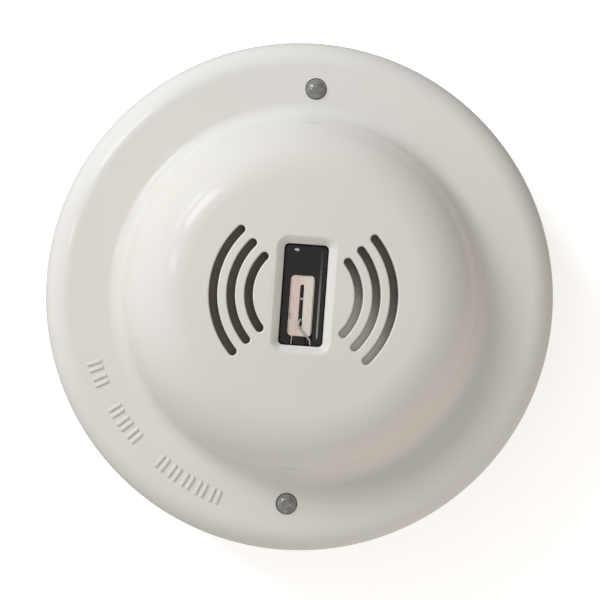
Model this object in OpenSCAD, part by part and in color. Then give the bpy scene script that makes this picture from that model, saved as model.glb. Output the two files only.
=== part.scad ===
// Ceiling heat detector: a twist-lock head on a mounting base.
// Frame: origin at the centre of the base's back face, +Z out of the detector's front,
// +Y through the top lamp.
// All sizes are in millimetres and degrees.

/* [Head] */
// Outside diameter of the head
head_d = 100; // [99:0.5:102]
// Height of the flange face above the mounting plane
flange_z = 24; // [24:0.5:25]
// Wall thickness of the cover
wall = 2; // [1.8:0.1:2]

/* [Sensor window] */
// Width of the window at its inner edge
window_w = 8.4; // [8.2:0.1:8.8]
// Length of the window at its inner edge
window_l = 19.2; // [19:0.1:19.6]
// Width of the bevel round the window
window_bevel = 1.6; // [1.2:0.1:1.8]

/* [Air slots] */
// Slots on each side of the window
slot_count = 3; // [2:1:3]
// Width of one slot
slot_w = 1.6; // [1.2:0.1:1.8]
// Centreline radius of the innermost slot
slot_r = 10.4; // [10:0.1:10.8]
// Radial step from slot to slot
slot_pitch = 3.35; // [3.2:0.05:3.4]
// Half of the angle that a slot covers, its round ends included
slot_half_angle = 45; // [38:1:45]

/* [Lamps] */
// Distance of each lamp from the centre
lamp_r = 40.5; // [40:0.1:41]
// Diameter of each lamp's light pipe
lamp_d = 4; // [3.6:0.1:4.2]

/* [Base] */
// Height of the base's outer wall
base_h = 12; // [12:0.5:12]
// Radius of the cable entry
cable_r = 12; // [10:0.5:13]
// Distance between the two mounting slots on the X axis
fix_x = 60; // [58:1:62]
// Distance between the two mounting slots on the Y axis
fix_y = 50; // [48:1:52]
// Width of a mounting slot
fix_w = 4.4; // [4:0.1:4.6]
// End-to-end length of a mounting slot
fix_l = 10; // [8:0.5:11]

/* [Bayonet] */
// Angle that the head turns from locked to free
twist = 24; // [24:1:24]
// Angle that each lug covers
lug_arc = 20; // [16:1:20]

/* [Hidden] */
$fn = 96;

// Small overlap that fuses two shapes of one piece, and the gap left between two pieces
fuse = 0.2;
gap = 0.1;

// Colours of the materials
ivory = [0.86, 0.85, 0.81];
shell_back = [0.80, 0.79, 0.75];
gloss_black = [0.03, 0.03, 0.035];
bronze = [0.78, 0.62, 0.36];
steel = [0.72, 0.72, 0.70];
board_green = [0.05, 0.27, 0.14];
smoke_clear = [0.55, 0.56, 0.55];
pale_ceramic = [0.85, 0.76, 0.70];
chip_black = [0.09, 0.09, 0.10];

// ---- Section of the cover --------------------------------------------------------------------
// The section is a chain of stretches, from the axis outwards: [bend radius, slope at its start,
// slope at its end, straight run after it]. A positive radius is domed, a negative one hollow.
face_r = 22.3;
face_slope = 3;
shoulder_bend = 13;
shoulder_slope = 70;
shoulder_run = 2.6;
foot_fillet = 3.2;
rim_bend = 5;
dome = [
    [face_r / sin(face_slope), 0, face_slope, 0],
    [shoulder_bend, face_slope, shoulder_slope, shoulder_run],
    [-foot_fillet, shoulder_slope, 0, 0]
];
skirt_z = base_h + 0.4;

function normal_at(slope) = [sin(slope), cos(slope)];
function along(slope) = [cos(slope), -sin(slope)];
function bend_end(p, s) = p + s[0] * (normal_at(s[2]) - normal_at(s[1]));
function stretch_end(p, s) = bend_end(p, s) + s[3] * along(s[2]);
function chain_end(p, list, i = 0) = i == len(list) ? p : chain_end(stretch_end(p, list[i]), list, i + 1);
// Points of one stretch, moved inwards by depth, a step every few degrees
function stretch_points(p, s, depth) =
    let (steps = max(2, ceil(abs(s[2] - s[1]) / 4)))
    [
        for (i = [0 : steps])
            let (slope = s[1] + (s[2] - s[1]) * i / steps)
            p + s[0] * (normal_at(slope) - normal_at(s[1])) - depth * normal_at(slope),
        if (s[3] > 0) stretch_end(p, s) - depth * normal_at(s[2])
    ];
function chain_points(p, list, depth, i = 0) =
    i == len(list) ? []
        : concat(stretch_points(p, list[i], depth), chain_points(stretch_end(p, list[i]), list, depth, i + 1));

dome_end = chain_end([0, 0], dome);
top_z = flange_z - dome_end[1];
flange = [[1, 0, 0, head_d / 2 - rim_bend - dome_end[0]]];
skirt = [[rim_bend, 0, 90, flange_z - rim_bend - skirt_z]];
section = concat(dome, flange, skirt);

function reversed(list) = [for (i = [len(list) - 1 : -1 : 0]) list[i]];

// Solid of revolution under the section, moved inwards by depth
module under_section(depth, floor_z) {
    skin = chain_points([0, top_z], section, depth);
    rotate_extrude()
        polygon(concat([[0, floor_z]], [for (q = reversed(skin)) [max(0, q[0]), max(q[1], floor_z)]]));
}

// ---- Shared shapes ---------------------------------------------------------------------------
module at(angle, radius, z = 0) {
    rotate([0, 0, angle]) translate([radius, 0, z]) children();
}

module tube(r_out, r_in, z0, z1) {
    translate([0, 0, z0]) difference() {
        cylinder(r = r_out, h = z1 - z0);
        translate([0, 0, -1]) cylinder(r = r_in, h = z1 - z0 + 2);
    }
}

// Part of a ring between two radii, two heights and two angles
module sector(r_in, r_out, z0, z1, a0, a1) {
    rotate([0, 0, a0]) rotate_extrude(angle = a1 - a0)
        translate([r_in, z0]) square([r_out - r_in, z1 - z0]);
}

// Upright slot with round ends, its length along X
module slot_hole(length, width, z0, z1) {
    translate([-(length - width) / 2, -width / 2, z0]) cube([length - width, width, z1 - z0]);
    for (side = [-1, 1])
        translate([side * (length - width) / 2, 0, z0]) cylinder(r = width / 2, h = z1 - z0);
}

// Upright block with rounded corners
module rounded_block(size, corner, z0, z1) {
    translate([-size[0] / 2 + corner, -size[1] / 2, z0]) cube([size[0] - 2 * corner, size[1], z1 - z0]);
    translate([-size[0] / 2, -size[1] / 2 + corner, z0]) cube([size[0], size[1] - 2 * corner, z1 - z0]);
    for (x = [-1, 1], y = [-1, 1])
        translate([x * (size[0] / 2 - corner), y * (size[1] / 2 - corner), z0])
            cylinder(r = corner, h = z1 - z0);
}

// Outline of a bent strip of constant thickness along a path of points
function turn_at(path, i) =
    let (
        before = i == 0 ? path[1] - path[0] : path[i] - path[i - 1],
        after = i == len(path) - 1 ? before : path[i + 1] - path[i],
        a = before / norm(before),
        b = after / norm(after),
        m = [-(a[1] + b[1]), a[0] + b[0]] / norm(a + b)
    )
    m / (m * [-a[1], a[0]]);
function strip(path, thick) = concat(
    [for (i = [0 : len(path) - 1]) path[i] + turn_at(path, i) * thick / 2],
    [for (i = [len(path) - 1 : -1 : 0]) path[i] - turn_at(path, i) * thick / 2]
);

// Bent strip standing in the X-Z plane, centred on Y
module bent_strip(path, thick, width) {
    translate([0, width / 2, 0]) rotate([90, 0, 0]) linear_extrude(width) polygon(strip(path, thick));
}

// Thin round wire swept along a path of points, its bends mitred
wire_sides = 8;
wire_ref = [1, 0.3, 0.2];
function unit(v) = v / norm(v);
function tangent(path, i) =
    let (last = len(path) - 1)
    unit(unit(path[min(i + 1, last)] - path[min(i, last - 1)]) + unit(path[max(i, 1)] - path[max(i - 1, 0)]));
function wire_ring(p, t, r) =
    let (u = unit(cross(t, wire_ref)), v = cross(t, u))
    [for (k = [0 : wire_sides - 1]) p + r * (cos(360 * k / wire_sides) * u + sin(360 * k / wire_sides) * v)];
module wire(path, r) {
    n = wire_sides;
    last = len(path) - 1;
    polyhedron(
        points = [for (i = [0 : last]) each wire_ring(path[i], tangent(path, i), r)],
        faces = concat(
            [[for (k = [0 : n - 1]) k], [for (k = [n - 1 : -1 : 0]) last * n + k]],
            [for (i = [0 : last - 1], k = [0 : n - 1])
                [i * n + k, (i + 1) * n + k, (i + 1) * n + (k + 1) % n]],
            [for (i = [0 : last - 1], k = [0 : n - 1])
                [i * n + k, (i + 1) * n + (k + 1) % n, i * n + (k + 1) % n]]
        )
    );
}

// Pan-head screw with a cross recess; its head sits on z = 0 and it points down
module pan_screw(shank_r, length, head_r, head_h) {
    difference() {
        union() {
            translate([0, 0, -length]) cylinder(r = shank_r, h = length + fuse, $fn = 48);
            cylinder(r = head_r, h = head_h * 0.6, $fn = 48);
            translate([0, 0, head_h * 0.6])
                cylinder(r1 = head_r, r2 = head_r * 0.72, h = head_h * 0.4, $fn = 48);
        }
        for (turn = [0, 90])
            rotate([0, 0, turn])
                translate([-head_r * 0.55, -head_r * 0.11, head_h * 0.35])
                    cube([head_r * 1.1, head_r * 0.22, head_h]);
    }
}

// ---- Mounting base ---------------------------------------------------------------------------
base_r = 49.2;
base_wall = 2.2;
base_floor = 2.2;
lug_angles = [60, 180, 300];
ring_out = 42.5;
ring_in = 40.5;
lug_out = 45.4;
lug_z = 5;
lug_h = 2;
shelf_in = ring_out + 0.7;
shelf_z = lug_z + lug_h + 0.4;
shelf_h = 2;
stop_arc = 3;
terminal_angles = [45, 135, 225, 315];
terminal_r = 31;
tower_top = 4.4;
plate_t = 0.8;
washer_t = 1;
screw_offset = -6;

lever_axis_angle = 118;
lever_axis_r = 44.8;
lever_pin_r = 0.9;
lever_z = 3.3;
lever_h = 4;
tooth_angle = 136;

// The four terminals' own places
module each_terminal() {
    for (a = terminal_angles) at(a, terminal_r) children();
}

module base_plate() {
    color(ivory) difference() {
        union() {
            cylinder(r = base_r, h = base_floor);
            tube(base_r, base_r - base_wall, 0, base_h);
            tube(cable_r + 2, cable_r, 0, base_floor + 1.6);
            // shelves that hold the head's lugs down, each with a stop at its locked end
            for (a = lug_angles) {
                sector(shelf_in, base_r - 1, shelf_z, shelf_z + shelf_h,
                    a - lug_arc / 2 - stop_arc - 2, a + lug_arc / 2 + 1);
                sector(shelf_in + fuse, base_r - 1, 1, shelf_z + fuse,
                    a - lug_arc / 2 - stop_arc - 1, a - lug_arc / 2 - 1);
                sector(shelf_in, base_r - 1, 1, shelf_z,
                    a + twist + lug_arc / 2 + 1, a + twist + lug_arc / 2 + 1 + stop_arc);
            }
            // towers under the terminals
            each_terminal() {
                translate([-3.5, screw_offset - 4, 1]) cube([8, 8, tower_top - 1]);
                translate([-3.5, screw_offset + 4 - fuse, 1]) cube([8, 3, tower_top - 1]);
            }
            // pads round the mounting slots
            for (side = [-1, 1]) {
                translate([side * fix_x / 2, 0]) slot_hole(fix_l + 5, fix_w + 5, 1, base_floor + 0.8);
                translate([0, side * fix_y / 2]) rotate(90)
                    slot_hole(fix_l + 5, fix_w + 5, 1, base_floor + 0.8);
            }
            // ribs from the cable collar to the wall
            for (a = [22.5 : 45 : 359])
                at(a, 0) translate([cable_r + 1, -0.6, 1]) cube([base_r - cable_r - 2, 1.2, 2]);
            // pin and washer face that the lock lever turns on
            at(lever_axis_angle, lever_axis_r) {
                cylinder(r = lever_pin_r, h = lever_z + lever_h + 0.4, $fn = 48);
                cylinder(r = 1.5, h = lever_z - gap, $fn = 48);
            }
        }
        translate([0, 0, -1]) cylinder(r = cable_r, h = base_h);
        for (side = [-1, 1]) {
            translate([side * fix_x / 2, 0]) slot_hole(fix_l, fix_w, -1, base_h - 4);
            translate([0, side * fix_y / 2]) rotate(90) slot_hole(fix_l, fix_w, -1, base_h - 4);
        }
        // screw holes of the terminals
        each_terminal() translate([0, screw_offset, 1]) cylinder(r = 1.9, h = 6, $fn = 48);
        // opening for the tool that frees the lock lever
        at(lever_axis_angle - 7, base_r - 3, lever_z + 0.4)
            translate([0, -1.6, 0]) cube([6, 3.2, lever_h - 0.8]);
        // locked and free marks on the outside
        for (a = [-60, -60 + twist]) at(a, base_r - 0.4, base_h - 4) translate([0, -0.5, 0]) cube([2, 1, 6]);
    }
}

// Phosphor-bronze contact: a plate under the terminal screw, and a leaf that rises to the head's blade
contact_top = 9;
leaf_t = 0.4;
module contact_spring(i) {
    color(bronze) at(terminal_angles[i], terminal_r) {
        difference() {
            translate([-3.2, screw_offset - 3.6, tower_top + gap / 2]) cube([7.4, 7.2, plate_t]);
            translate([0, screw_offset, 0]) cylinder(r = 1.7, h = base_h, $fn = 48);
        }
        rotate([0, 0, 90])
            bent_strip([
                [screw_offset + 3.2, tower_top + gap / 2 + leaf_t / 2],
                [-1.6, tower_top + gap / 2 + leaf_t / 2],
                [2.4, contact_top - 1],
                [4.2, contact_top - leaf_t / 2],
                [5.8, contact_top - leaf_t / 2],
                [7.4, contact_top - 1.2]
            ], leaf_t, 4.4);
    }
}

washer_z = tower_top + gap / 2 + plate_t + gap / 2;
module clamp_washers() {
    color(steel) each_terminal() translate([0, screw_offset, washer_z]) difference() {
        translate([-3, -3, 0]) cube([6, 6, washer_t]);
        translate([0, 0, -1]) cylinder(r = 1.7, h = 3, $fn = 48);
    }
}

module terminal_screws() {
    color(steel) each_terminal() translate([0, screw_offset, washer_z + washer_t + gap / 2])
        pan_screw(1.5, 4.6, 2.7, 1.9);
}

// Tamper lock: swings inwards so that its tooth drops into a notch of the head's ring
lever_gap = 0.05;
tooth_arc = 2;
tooth_gap = 0.4;
module lock_lever() {
    arm_in = lever_axis_r - 0.6;
    arm_out = lever_axis_r + 0.6;
    tail_arc = 8;
    color(ivory) difference() {
        union() {
            sector(arm_in, arm_out, lever_z, lever_z + lever_h,
                lever_axis_angle - tail_arc, tooth_angle - tooth_arc / 2);
            at(lever_axis_angle, lever_axis_r, lever_z) cylinder(r = 1.7, h = lever_h, $fn = 48);
            sector(ring_out + tooth_gap, arm_out - fuse, lever_z + fuse, lever_z + lever_h - fuse,
                tooth_angle - tooth_arc, tooth_angle);
        }
        at(lever_axis_angle, lever_axis_r) cylinder(r = lever_pin_r + lever_gap, h = base_h, $fn = 48);
    }
}

// ---- Cover -----------------------------------------------------------------------------------
boss_angles = [0, 120, 240];
boss_r = 37;
boss_top = flange_z - 1;
housing_z = skirt_z;
housing_t = 2;
housing_top = housing_z + housing_t;
board_z = 17.4;
board_t = 1.6;
board_top = board_z + board_t;

// Arc-shaped air slot cut between two heights
module air_slot(radius, z0, z1) {
    end = slot_half_angle - asin(slot_w / 2 / radius);
    sector(radius - slot_w / 2, radius + slot_w / 2, z0, z1, -end, end);
    for (a = [-end, end]) at(a, radius, z0) cylinder(r = slot_w / 2, h = z1 - z0, $fn = 48);
}

window_corner = 1;

// Four-sided funnel that bevels the window
module window_bevel_cut() {
    deep = 1.1;
    lift = 1;
    grow = window_bevel * (1 + lift / deep);
    module wedge(w, l) {
        translate([0, l / 2 + grow + 1, 0]) rotate([90, 0, 0]) linear_extrude(l + 2 * grow + 2)
            polygon([[-w / 2, -deep], [w / 2, -deep], [w / 2 + grow, lift], [-w / 2 - grow, lift]]);
    }
    translate([0, 0, top_z - 0.1]) intersection() {
        wedge(window_w, window_l);
        rotate([0, 0, 90]) wedge(window_l, window_w);
    }
}

legend_in = 40.9;
legend_out = 43.6;
legend_words = [[201, 2], [214, 3], [232.5, 5]];
legend_step = 4.1;

// Raised bars in groups, where a moulded legend would stand
module legend_bars() {
    for (word = legend_words, i = [0 : word[1] - 1], side = [0, 1])
        at(word[0] + legend_step * (i + 0.22 + side * 0.42), legend_in, flange_z - fuse)
            translate([0, -0.25, 0]) cube([legend_out - legend_in, 0.5, fuse + 0.25]);
}

module cover() {
    color(ivory) difference() {
        union() {
            difference() {
                under_section(0, skirt_z);
                under_section(wall, skirt_z - 1);
            }
            for (a = boss_angles)
                at(a, boss_r, housing_top + gap) cylinder(r = 3, h = boss_top - housing_top - gap, $fn = 48);
            for (side = [-1, 1])
                translate([0, side * lamp_r, flange_z - 3.4]) cylinder(r = lamp_d / 2 + 1, h = 2.4, $fn = 48);
            legend_bars();
        }
        for (turn = [0, 180], i = [0 : slot_count - 1])
            rotate([0, 0, turn]) air_slot(slot_r + i * slot_pitch, top_z - 4, top_z + 1);
        rounded_block([window_w, window_l], window_corner, top_z - 4, top_z + 1);
        window_bevel_cut();
        for (side = [-1, 1])
            translate([0, side * lamp_r, flange_z - 5]) cylinder(r = lamp_d / 2 + 0.1, h = 6, $fn = 64);
        for (a = boss_angles) at(a, boss_r, housing_top - 1) cylinder(r = 1.25, h = 7, $fn = 32);
        at(-60, head_d / 2 - 0.4, skirt_z - 1) translate([0, -0.5, 0]) cube([2, 1, 4]);
    }
}

// Soft ring squeezed between the rear housing and the cover
module dust_seal() {
    color([0.12, 0.12, 0.12])
        tube(head_d / 2 - wall - gap / 2, head_d / 2 - wall - 1.8, housing_top + gap / 2, housing_top + 1.5);
}

// ---- Rear housing of the head ------------------------------------------------------------------
blade_slot = [1.3, 5];
post_angles = [60, 180, 300];
post_r = 37;
notch_w = 3.2;

module rear_housing() {
    color(shell_back) difference() {
        union() {
            translate([0, 0, housing_z]) cylinder(r = head_d / 2 - wall - 0.2, h = housing_t);
            tube(ring_out, ring_in, lug_z, housing_z + 1);
            for (a = lug_angles)
                sector(ring_out - 1, lug_out, lug_z, lug_z + lug_h, a - lug_arc / 2, a + lug_arc / 2);
            for (a = post_angles)
                at(a, post_r, housing_z + 1) cylinder(r = 2.8, h = board_z - housing_z - 1, $fn = 48);
            // stiffening ribs inside the bayonet ring
            for (a = [0 : 30 : 359]) if (a % 90 != 0)
                at(a, 0, housing_z - 1.2) translate([14, -0.6, 0]) cube([ring_in - 13, 1.2, 1.6]);
            tube(15, 13.6, housing_z - 1.2, housing_z + 1);
        }
        // notches that the lock lever's tooth drops into, locked and free
        for (a = [tooth_angle, tooth_angle - twist])
            at(a - tooth_arc / 2, ring_in - 1, lug_z - 1)
                translate([0, -notch_w / 2, 0]) cube([4, notch_w, 4.6]);
        // screws that hold the cover
        for (a = boss_angles) at(a, boss_r) {
            cylinder(r = 1.6, h = 30, $fn = 32);
            translate([0, 0, housing_z - 3]) cylinder(r = 3.1, h = 3.2, $fn = 48);
        }
        for (a = post_angles) at(a, post_r, board_z - 4) cylinder(r = 1, h = 6, $fn = 32);
        for (a = terminal_angles) at(a, terminal_r, housing_z - 3) translate([-blade_slot[1] / 2, 2, 0])
            cube([blade_slot[1], blade_slot[0], 6]);
    }
}

module cover_screws() {
    color(steel) for (a = boss_angles) at(a, boss_r, housing_z + 0.2 - gap / 2) mirror([0, 0, 1])
        pan_screw(1.2, 7.5, 2.6, 1.8);
}

// Blade of the head: a shoe that wipes over the base's leaf, and a stem up to the circuit board
module contact_blade(i) {
    stem = 2.65;
    shoe = contact_top + 0.05 + leaf_t;
    color(bronze) at(terminal_angles[i], terminal_r) rotate([0, 0, 90])
        bent_strip([
            [8.6, shoe + 0.9],
            [7.4, shoe],
            [stem, shoe],
            [stem, board_top + 1.2]
        ], 2 * leaf_t, 4.4);
}

// ---- Circuit board and what it carries ----------------------------------------------------------
board_r = 43.5;

module circuit_board() {
    color(board_green) difference() {
        translate([0, 0, board_z]) cylinder(r = board_r, h = board_t);
        for (a = boss_angles) at(a, 0, board_z - 1) {
            translate([boss_r, 0, 0]) cylinder(r = 3.3, h = 4, $fn = 48);
            translate([boss_r, -3.3, 0]) cube([10, 6.6, 4]);
        }
        for (a = post_angles) at(a, post_r, board_z - 1) cylinder(r = 1.2, h = 4, $fn = 32);
        for (a = terminal_angles)
            at(a, terminal_r, board_z - 1) translate([-2.4, 2.1, 0]) cube([4.8, 1.1, 4]);
        for (x = lead_hole_x) translate([x, lead_hole_y, board_z - 1]) cylinder(r = 0.4, h = 4, $fn = 20);
        for (end = [-1, 1])
            translate([end * reed_half, reed_y, board_z - 1]) cylinder(r = 0.4, h = 4, $fn = 20);
    }
}

module board_screws() {
    color(steel) for (a = post_angles) at(a, post_r, board_top + gap / 2) pan_screw(0.95, 4.5, 2, 1.4);
}

// Moulded chip package with gull-wing leads along two sides
module chip(size, leads, lead_w) {
    translate([-size[0] / 2, -size[1] / 2, 0.15]) cube(size);
    pitch = size[0] / leads;
    for (i = [0 : leads - 1], side = [-1, 1])
        translate([-size[0] / 2 + pitch * (i + 0.5), side * (size[1] / 2 + 0.35), 0])
            translate([-lead_w / 2, -0.55, 0]) cube([lead_w, 1.1, 0.5]);
}

board_gap = 0.02;
module on_board(x, y, turn = 0) {
    translate([x, y, board_top + board_gap]) rotate([0, 0, turn]) children();
}

module microcontroller() {
    color(chip_black) on_board(17, 12, 90) chip([9, 6, 1.5], 8, 0.4);
}

module voltage_regulator() {
    color(chip_black) on_board(-17, -12, 90) chip([5, 4, 1.4], 4, 0.4);
}

module bridge_rectifier() {
    color(chip_black) on_board(-18, 12) chip([7, 6, 2.4], 2, 1);
}

// Radial can standing on the board
module can(r, h) {
    cylinder(r = r, h = h, $fn = 64);
    for (side = [-1, 1]) translate([side * r * 0.45, 0, -0.01]) cylinder(r = 0.3, h = 0.4, $fn = 20);
}

module reservoir_capacitor() {
    color([0.10, 0.12, 0.22]) on_board(17, -12) can(4, 9);
}

module filter_capacitor() {
    color([0.10, 0.12, 0.22]) on_board(-7, -24) can(2.5, 6.5);
}

// Disc varistor on edge
module surge_suppressor() {
    color([0.20, 0.36, 0.62]) on_board(8, 25) translate([0, 1.4, 4.2]) rotate([90, 0, 0])
        cylinder(r = 3.6, h = 2.8, $fn = 64);
}

// Glass reed switch that a test magnet closes, on two bent leads
reed_half = 8.5;
reed_y = 33;
reed_z = board_top + 1.9;
module reed_switch() {
    color([0.72, 0.78, 0.74]) {
        translate([-5.5, reed_y, reed_z]) rotate([0, 90, 0]) cylinder(r = 1.1, h = 11, $fn = 32);
        for (end = [-1, 1])
            wire([
                [end * 5, reed_y, reed_z], [end * reed_half, reed_y, reed_z], [end * reed_half, reed_y, board_z - 0.6]
            ], 0.3);
    }
}

// Chip resistors and capacitors in two rows
module chip_components() {
    color([0.30, 0.27, 0.22]) for (i = [0 : 5], row = [0, 1])
        on_board(-12.5 + 5 * i, -29.5 - 3.2 * row) if (row == 0 || i > 0)
            translate([-1, -0.6, 0]) cube([2, 1.2, 0.6]);
}

module status_led(side) {
    color([0.92, 0.90, 0.84]) on_board(0, side * lamp_r) {
        translate([-1.6, -1.4, 0]) cube([3.2, 2.8, 1]);
        translate([0, 0, 0.9]) cylinder(r = 1.1, h = 0.3, $fn = 48);
    }
}

// Clear pipe that carries a lamp's light through the flange, with a domed head
pipe_tip = flange_z + 0.9;
module light_pipe(side) {
    r = lamp_d / 2;
    foot_z = board_top + 1.5;
    color(smoke_clear) translate([0, side * lamp_r, 0]) rotate_extrude()
        polygon(concat(
            [[0, foot_z], [r - 0.4, foot_z], [r, foot_z + 0.6], [r, pipe_tip - 1.2]],
            [for (a = [10 : 10 : 90]) [r * cos(a), pipe_tip - 1.2 + 1.2 * sin(a)]]
        ));
}

// ---- Sensor --------------------------------------------------------------------------------------
holder = [window_w - 0.4, window_l - 0.4];
holder_top = top_z - 1.9;
holder_wall = 1.2;
pad_size = [4.6, 11.6];
pad_corner = 0.9;
pad_at = [-0.3, -2.05];
pad_top = holder_top - 0.15;
pad_t = 0.9;
pad_slot = [0.7, 8];
lead_r = 0.13;
lead_hole_x = [-1.7, 1.8];
lead_hole_y = -(window_l - 0.4) / 2 + 0.2;
channel_w = [0.6, 1.3];

// Black tower that stands on the board and fills the window
module sensor_holder() {
    color(gloss_black) difference() {
        rounded_block(holder, 0.8, board_top + gap / 2, holder_top);
        rounded_block([holder[0] - 2 * holder_wall, holder[1] - 2 * holder_wall], 0.5,
            board_top - 1, holder_top - 2.2);
        translate([pad_at[0], pad_at[1], 0])
            rounded_block([pad_size[0] + gap, pad_size[1] + gap], pad_corner, holder_top - 1.2, holder_top + 1);
        translate([pad_at[0], pad_at[1], 0]) slot_opening(1.4, 9, holder_top - 3, holder_top);
        // grooves down the end face for the two leads
        for (x = lead_hole_x) translate([x - 0.3, -holder[1] / 2 - 1, board_top - 1]) cube([0.6, 1.5, top_z]);
        // shallow channels from the pad to the grooves, the right one wide enough for its lead's bend
        for (i = [0, 1])
            translate([lead_hole_x[i] + 0.3 - channel_w[i], -holder[1] / 2 - 1, holder_top - 0.5])
                cube([channel_w[i], 3.6, 2]);
    }
}

module slot_opening(width, length, z0, z1) {
    rotate([0, 0, 90]) slot_hole(length, width, z0, z1);
}

// Pale ceramic plate with a slot that the thermistor lies in; its two halves lean towards the slot
module sensor_pad() {
    color(pale_ceramic) translate([pad_at[0], pad_at[1], 0]) difference() {
        rounded_block(pad_size, pad_corner, pad_top - pad_t, pad_top);
        slot_opening(pad_slot[0], pad_slot[1], pad_top - 3, pad_top + 1);
        translate([0, pad_size[1] / 2 + 1, pad_top]) rotate([90, 0, 0]) linear_extrude(pad_size[1] + 2)
            polygon([[-pad_size[0] / 2 - 1, 0.12], [pad_size[0] / 2 + 1, 0.12], [0, -0.22]]);
    }
}

// Dark glass-coated rod in the pad's slot
module thermistor() {
    color([0.08, 0.07, 0.07]) translate([pad_at[0], pad_at[1], pad_top - 0.45]) {
        translate([0, 3.5, 0]) rotate([90, 0, 0]) cylinder(r = 0.27, h = 7, $fn = 32);
        for (end = [-1, 1]) translate([0, end * 3.5, 0]) sphere(r = 0.27, $fn = 32);
    }
}

module thermistor_leads() {
    bed = holder_top - 0.25;
    tail = board_z - 0.8;
    color(steel) {
        wire([
            [pad_at[0], pad_at[1] - 3.72, pad_top - 0.2],
            [0.1, -6.9, pad_top + 0.2],
            [1.2, -8, pad_top + 0.1],
            [lead_hole_x[1], -8.7, bed],
            [lead_hole_x[1], lead_hole_y - 0.35, bed],
            [lead_hole_x[1], lead_hole_y - 0.35, board_top + 1],
            [lead_hole_x[1], lead_hole_y, board_top],
            [lead_hole_x[1], lead_hole_y, tail]
        ], lead_r);
        wire([
            [lead_hole_x[0], -7.75, bed],
            [lead_hole_x[0], lead_hole_y - 0.35, bed],
            [lead_hole_x[0], lead_hole_y - 0.35, board_top + 1],
            [lead_hole_x[0], lead_hole_y, board_top],
            [lead_hole_x[0], lead_hole_y, tail]
        ], lead_r);
    }
}

// Dark dish under the air slots that keeps dust off the board; air turns through the slots over it
baffle_out = 24;
baffle_in_z = top_z - 5.1;
baffle_out_z = top_z - 4.3;
baffle_t = 1.2;
module air_baffle() {
    color([0.10, 0.10, 0.10]) difference() {
        union() {
            rotate_extrude() polygon([
                [0, baffle_in_z - baffle_t], [9, baffle_in_z - baffle_t],
                [baffle_out, baffle_out_z - baffle_t],
                [baffle_out, baffle_out_z + 0.4], [baffle_out - 1, baffle_out_z + 0.4],
                [baffle_out - 1, baffle_out_z],
                [9, baffle_in_z], [0, baffle_in_z]
            ]);
            for (a = [0, 90, 180, 270])
                at(a, 21.5, board_top + gap / 2) cylinder(r = 1.6, h = baffle_in_z - board_top, $fn = 32);
        }
        rounded_block([window_w + 0.2, window_l + 0.2], 1, baffle_in_z - 3, baffle_in_z + 3);
    }
}

// ---- Assembly ------------------------------------------------------------------------------------
base_plate();
contact_spring(0);  // contact_spring_1
contact_spring(1);  // contact_spring_2
contact_spring(2);  // contact_spring_3
contact_spring(3);  // contact_spring_4
clamp_washers();
terminal_screws();
lock_lever();
cover();
dust_seal();
rear_housing();
cover_screws();
contact_blade(0);  // contact_blade_1
contact_blade(1);  // contact_blade_2
contact_blade(2);  // contact_blade_3
contact_blade(3);  // contact_blade_4
circuit_board();
board_screws();
microcontroller();
voltage_regulator();
bridge_rectifier();
reservoir_capacitor();
filter_capacitor();
surge_suppressor();
reed_switch();
chip_components();
status_led(1);  // status_led_1
status_led(-1);  // status_led_2
light_pipe(1);  // light_pipe_1
light_pipe(-1);  // light_pipe_2
air_baffle();
sensor_holder();
sensor_pad();
thermistor();
thermistor_leads();
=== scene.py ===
import math

import bmesh
import bpy
import numpy as np
from mathutils import Matrix, Vector


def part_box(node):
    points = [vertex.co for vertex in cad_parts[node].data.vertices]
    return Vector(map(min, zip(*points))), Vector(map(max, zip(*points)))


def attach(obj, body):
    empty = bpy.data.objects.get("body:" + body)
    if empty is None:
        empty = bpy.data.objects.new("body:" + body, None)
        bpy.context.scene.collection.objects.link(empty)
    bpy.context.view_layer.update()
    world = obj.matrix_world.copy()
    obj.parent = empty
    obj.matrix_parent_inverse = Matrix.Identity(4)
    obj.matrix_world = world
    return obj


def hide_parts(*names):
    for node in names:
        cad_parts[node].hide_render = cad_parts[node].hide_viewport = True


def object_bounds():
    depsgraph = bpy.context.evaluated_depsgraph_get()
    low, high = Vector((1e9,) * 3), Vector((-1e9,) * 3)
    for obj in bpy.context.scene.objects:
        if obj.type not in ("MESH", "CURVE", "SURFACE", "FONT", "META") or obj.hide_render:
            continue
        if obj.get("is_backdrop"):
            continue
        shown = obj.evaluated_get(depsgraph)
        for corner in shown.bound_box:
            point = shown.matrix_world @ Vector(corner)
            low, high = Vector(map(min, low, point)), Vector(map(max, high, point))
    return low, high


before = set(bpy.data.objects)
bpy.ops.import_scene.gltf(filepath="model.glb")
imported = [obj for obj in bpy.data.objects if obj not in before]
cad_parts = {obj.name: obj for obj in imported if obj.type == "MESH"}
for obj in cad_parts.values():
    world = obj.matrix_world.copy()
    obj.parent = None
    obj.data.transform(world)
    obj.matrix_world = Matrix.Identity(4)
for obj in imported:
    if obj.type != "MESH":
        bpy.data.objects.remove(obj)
cad_low, cad_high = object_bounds()


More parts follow.
